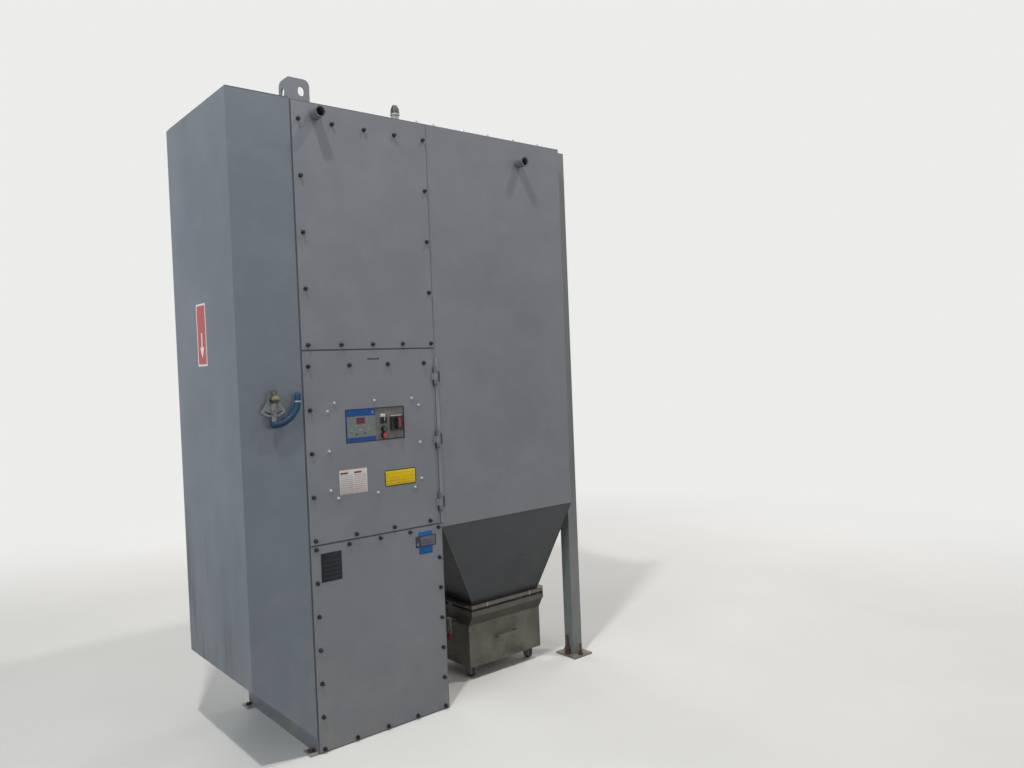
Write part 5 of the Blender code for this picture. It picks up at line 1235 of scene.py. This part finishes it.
def add_anchor_nuts():
    x, apart = LEG_NUTS
    leg_spots = [(x, y + side * apart, LEG_PLATE_TOP) for y in LEG_LINES for side in (-1, 1)]
    ear_spots = [(EAR_NUTS[0], side * EAR_NUTS[1], EAR_TOP) for side in (-1, 1)]
    for name, spots in (("leg_anchor_nuts", leg_spots), ("base_anchor_nuts", ear_spots)):
        nuts = copies(model_anchor_nut(ANCHOR_NUT), name, spots, TOP_TURN)
        fit(nuts, "anchor_rust", "cabinet")


def is_thread_crest(edge):
    """Every second ring of the rings cut round the rod, which the thread draws in."""
    first, second = (-corner.co.y for corner in edge.verts)
    ring = round(first / (ROD_LENGTH / THREAD_RINGS))
    return abs(first - second) < SAME_PLACE and 0 < ring < THREAD_RINGS and ring % 2 == 1


def add_tall_anchors():
    """The tall threaded anchor that stands on each leg's plate, with two nuts."""
    rod = add_round("anchor_rod", ROD_RADIUS, ROD_LENGTH, (0, -ROD_LENGTH / 2, 0), 20)
    crown(rod, 0.0016, 0.0014)
    pick(rod, "EDGE", runs_along(1))
    bpy.ops.mesh.subdivide(number_cuts=THREAD_RINGS - 1)
    close()
    pick(rod, "EDGE", is_thread_crest)
    bpy.ops.transform.resize(value=(0.86, 1, 0.86), center_override=(0, 0, 0))
    close()
    nuts = copies(model_anchor_nut(ROD_NUT), "rod_nuts", [(0, 0, 0), (0, -ROD_NUT_STEP, 0)], twist=0)
    spots = [(ROD_LINE, y, LEG_PLATE_TOP) for y in LEG_LINES]
    anchors = copies(gather([rod, nuts], "anchor_pattern"), "tall_leg_anchors", spots, TOP_TURN)
    fit(anchors, "anchor_rust", "cabinet")


# Stickers, legends and controls on the door and the panels

def add_sticker(name, place, face, thickness, corner):
    left, right, bottom, top = place
    plate = add_block(name, (left, face - thickness, bottom), (right, face, top))
    round_edges(plate, runs_along(1), corner, 3)
    crown(plate, thickness * 0.6, thickness * 0.3)
    return plate


def add_stickers():
    for name, place, face, thickness, corner, finish, body, slot in STICKERS:
        piece = add_sticker(name, place, face, thickness, corner)
        if finish == "tape_blue":
            pick(piece, "EDGE", runs_along(0))
            bpy.ops.mesh.subdivide(number_cuts=5)
            close()
        if name == "selector_legend":
            drill(piece, SELECTOR_SPOT, SELECTOR_HOLE)
        fit(piece, finish, body)


def add_display():
    left, right, bottom, top = DISPLAY
    glass = add_block(
        "controller_display", (left, CONTROLLER_FACE - 0.0016, bottom), (right, CONTROLLER_FACE, top)
    )
    round_edges(glass, runs_along(1), 0.0015)
    crown(glass, 0.0012, 0.0006)
    sink(glass, 0.0012, 0.0008)
    fit(glass, "display_red", "control_door")


def add_keys():
    """The controller's round keys and its two arrow keys."""
    for name, radius, sides, edge, twist, places, finish, slot in KEYS:
        key = add_round("key_pattern", radius, KEY_HEIGHT, (0, -KEY_HEIGHT / 2, 0), sides)
        crown(key, *edge)
        spots = [(x, CONTROLLER_FACE, z) for x, z in places]
        fit(copies(key, name, spots, twist=twist), finish, "control_door")


def add_rings():
    for name, x, z, inner, outer in RINGS:
        ring = add_ring(name, (x, PLATE_FACE, z), inner, outer)
        fit(ring, "black_plastic", "control_door")


def add_gasket():
    """The thin rubber frame round the control window."""
    left, right, bottom, top = WINDOW
    low = (left - GASKET_EDGE, PANEL_FACE - GASKET_DEPTH, bottom - GASKET_EDGE)
    high = (right + GASKET_EDGE, PANEL_FACE, top + GASKET_EDGE)
    gasket = add_block("window_gasket", low, high)
    round_edges(gasket, runs_along(1), GASKET_WIDTH)
    open_middle(gasket, GASKET_WIDTH)
    fit(gasket, "gasket_rubber", "control_door")


# Welds, clips, ribs, plugs and the electrical box's details

def add_bead(name, start, end):
    """A weld run from start to end: one small ripple, copied along the joint."""
    start = Vector(start)
    end = Vector(end)
    ripple = add_round("ripple", BEAD_RADIUS, BEAD_PITCH * 1.3, (0, 0, 0), 8)
    round_edges(ripple, lambda edge: not runs_along(1)(edge), BEAD_RADIUS * 0.4, 1)
    count = int((end - start).length / BEAD_PITCH)
    spots = [start.lerp(end, (number + 0.5) / count) for number in range(count)]
    turn = (end - start).to_track_quat("Y", "Z").to_matrix().to_4x4()
    fit(copies(ripple, name, spots, turn), "painted_weld", "cabinet")


def add_welds():
    """Beads down the four corners of the hopper."""
    left, right, top_side, top = HOPPER_TOP
    low_left, low_right, low_side, low = HOPPER_MOUTH
    for front, side in (("front", -1), ("back", 1)):
        for hand, x, low_x in (("left", left, low_left), ("right", right, low_right)):
            start = (x, side * top_side, top)
            add_bead(f"hopper_{front}_{hand}_weld", start, (low_x, side * low_side, low))


def add_clips():
    """Two spring clips that hold the outlet frame's front strip."""
    clip = add_block("clip_pattern", (-0.0042, -0.0022, -0.0105), (0.0042, 0, 0.0105))
    round_edges(clip, runs_along(0), 0.001)
    crown(clip, 0.0012, 0.0005)
    fit(copies(clip, "outlet_frame_clips", CLIP_SPOTS, twist=0), "clip_steel", "cabinet")


def add_leg_ribs():
    """A sloping rib at the foot of each leg."""
    for label, y in zip(("front", "back"), LEG_LINES):
        low, high = (Vector((x, y, z)) for x, z in RIB)
        thick = Vector((0, 0.003, 0))
        rib = add_block(f"{label}_leg_rib", low - thick, high + thick)
        pick(rib, "EDGE", lambda edge: lies_past(2, 0.11)(edge) and lies_past(0, 0.95)(edge))
        bpy.ops.transform.translate(value=(-0.0250, 0, 0))
        close()
        round_edges(rib, lies_past(0, 0.9300), 0.001)
        fit(rib, "leg_rib_coat", "cabinet")


def add_leg_caps():
    """Plastic plugs in the open tops of the two legs."""
    left, right, half = LEG_CAP
    for label in ("front", "back"):
        low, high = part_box(f"support_leg_{label}")
        middle = (low.y + high.y) / 2
        foot = (left, middle - half, high.z)
        cap = add_block(f"{label}_leg_cap", foot, (right, middle + half, high.z + 0.004))
        round_edges(cap, lambda edge: any(end.co.z > high.z + 0.003 for end in edge.verts), 0.0018, 3)
        fit(cap, "black_plastic", "cabinet")


def add_box_details():
    """The electrical box's lid, its four screws and the cable glands under it."""
    low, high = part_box("electrical_box")
    border = 0.008
    face = high.y + 0.003
    foot = (low.x + border, high.y, low.z + border)
    lid = add_block("box_lid", foot, (high.x - border, face, high.z - border))
    round_edges(lid, lies_past(1, high.y + 0.002), 0.0012)
    fit(lid, "box_lid_coat", "control_door")
    columns = (low.x + BOX_SCREW_INSET, high.x - BOX_SCREW_INSET)
    rows = (low.z + BOX_SCREW_INSET, high.z - BOX_SCREW_INSET)
    spots = [(x, face, z) for x in columns for z in rows]
    screws = copies(model_screw(DOOR_SCREW), "box_lid_screws", spots, BACK_TURN)
    fit(screws, "bright_screw", "control_door")
    nut = add_round("gland_nut", 0.013, 0.010, (0, -0.005, 0), 6)
    crown(nut, 0.0018, 0.0010)
    cap = add_round("gland_cap", 0.0105, 0.012, (0, -0.0165, 0), 24)
    crown(cap, 0.0035, 0.0030)
    sink(cap, 0.0015, 0.006)
    middle = (low + high) / 2
    spots = [(middle.x + shift, middle.y, low.z) for shift in GLAND_SHIFTS]
    glands = copies(gather([nut, cap], "gland_pattern"), "box_cable_glands", spots, DOWN_TURN)
    fit(glands, "black_plastic", "control_door")


# Finishes of the solids and of the new pieces, by the start of the name

SOLID_FINISHES = {
    "fan_column_casing": (column_coat,),
    "column_base_frame": (base_coat,),
    "upper_access_panel": (sheet_coat,),
    "lower_access_panel": (sheet_coat,),
    "control_door": (sheet_coat, DOOR_SLOT_SHADE),
    "control_door_hinge_rail": (hinge_rail_coat,),
    "exhaust_plenum": (plenum_coat,),
    "outlet_grille": (dark_enamel, (70, 72, 76)),
    "damper_sector_plate": (sector_metal,),
    "damper_blade": (galvanised,),
    "damper_lever_arm": (damper_arm_metal,),
    "damper_grip": (damper_grip_sleeve,),
    "filter_housing": (housing_coat,),
    "tube_sheet": (galvanised,),
    "cartridge_": (filter_media,),
    "inlet_collar": (plain_coat, 0.3),
    "filter_service_door": (plain_coat, 0.3),
    "filter_door_hinge_rail": (plain_coat, 0.3, COAT_LIGHT),
    "filter_door_latch_": (moulded, (30, 30, 32)),
    "fan_inlet_ring": (galvanised,),
    "fan_impeller": (dark_enamel, (74, 76, 80)),
    "fan_motor": (dark_enamel, (60, 78, 104)),
    "motor_stand": (dark_enamel, (54, 56, 60)),
    "air_manifold": (galvanised, (162, 164, 163), 0.15),
    "air_supply_fitting": (zoned, (150, 150, 146), (44, 45, 48), 2.786, 0.7, 0.0),
    "lifting_lug_": (plain_coat, 0),
    "front_pipe_stub_": (plain_coat, 0, screen(92, 95, 102)),
    "support_leg_": (leg_coat,),
    "hopper": (hopper_coat,),
    "hopper_outlet_frame": (strip_zinc,),
    "bin_seal": (rubber,),
    "dust_bin": (bin_zinc,),
    "caster_fork_": (strip_zinc, (132, 130, 124)),
    "caster_wheel_": (wheel_rubber,),
    "clamp_lever_": (zoned, (126, 26, 30), (140, 141, 140), 0.2355, 0.0, 0.8),
    "control_plate": (dark_enamel, (88, 87, 84), 0.1),
    "controller_panel": (controller_membrane,),
    "electrical_box": (plain_coat, 0.1, screen(150, 152, 152)),
    "start_button": (button_finish, (20, 78, 60), START_BUTTON),
    "stop_button": (button_finish, (166, 42, 50), STOP_BUTTON),
    "selector_knob": (knob_finish,),
    "disconnect_base": (moulded, (24, 25, 27)),
    "disconnect_handle": (disconnect_handle_finish,),
}
PIECE_FINISHES = {
    "black_screw": (blackened,),
    "bright_screw": (plated_steel, (200, 200, 198), 0.3),
    "black_plastic": (moulded, (26, 26, 28)),
    "pale_legend": (moulded, (186, 184, 180), 0.4, (1.08, 0.4)),
    "box_lid_coat": (plain_coat, 0.1, screen(146, 148, 148)),
    "gasket_rubber": (rubber, (26, 26, 28), 0.7),
    "anchor_rust": (anchor_rust,),
    "clip_steel": (plated_steel, (166, 162, 158), 0.36),
    "leg_rib_coat": (plain_coat, 0.6, screen(118, 121, 124)),
    "painted_weld": (dark_enamel, (58, 60, 64), 0.1),
    "tape_blue": (tape_blue,),
    "key_grey": (moulded, (114, 119, 117), 0.5),
    "display_red": (glow_digits,),
    "white_sticker": (
        printed, (190, 184, 182), (180, 174, 172), WHITE_STICKER, 0.001, WHITE_BARS, WHITE_RULES,
    ),
    "yellow_sticker": (
        printed, (206, 176, 24), (44, 38, 16), YELLOW_STICKER, 0.0042, YELLOW_BARS, YELLOW_RULES,
    ),
    "dark_plate": (printed, (27, 28, 33), (40, 41, 46), RATING_PLATE, 0.0025, PLATE_BARS),
    "taped_tag": (printed, (92, 90, 100), (40, 39, 48), TAG, 0.0045, TAG_FIELDS),
}


def row_for(name, table):
    """The table's row with the longest start of this name, or nothing."""
    starts = [start for start in table if name.startswith(start)]
    return table[max(starts, key=len)] if starts else None


def dress_solids():
    """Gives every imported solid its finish."""
    for name, node in frame["nodes"].items():
        finish, *details = row_for(name, SOLID_FINISHES)
        finish(name, *details)
        if not node.material_slots:
            node.data.materials.append(None)
        for place in node.material_slots:
            place.material = Finish.made[name]


def make_piece_finishes():
    for name, (finish, *details) in PIECE_FINISHES.items():
        finish(name, *details)


def smooth_solids():
    """Merged and smoothly shaded copies of the round solids, which stand for them."""
    for name, node in list(frame["nodes"].items()):
        slot = row_for(name, SMOOTH_SOLIDS)
        if slot is None:
            continue
        piece = bpy.data.objects.new(f"{name}_smooth", node.data.copy())
        bpy.context.scene.collection.objects.link(piece)
        choose(piece)
        bpy.ops.mesh.customdata_custom_splitnormals_clear()
        bpy.ops.object.mode_set(mode="EDIT")
        bpy.ops.mesh.select_all(action="SELECT")
        bpy.ops.mesh.remove_doubles(threshold=MERGE_DISTANCE)
        bpy.ops.mesh.dissolve_limited(angle_limit=FLAT_ANGLE)
        close()
        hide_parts(name)
        fit(piece, name, node["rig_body"])


set_camera()
set_floor()
add_lamps()
set_world()
dress_solids()
make_piece_finishes()
add_panel_bolts()
add_bright_screws()
add_anchor_nuts()
add_stickers()
add_display()
add_keys()
add_rings()
add_gasket()
add_welds()
add_clips()
add_tall_anchors()
add_leg_ribs()
add_box_details()
add_leg_caps()
smooth_solids()
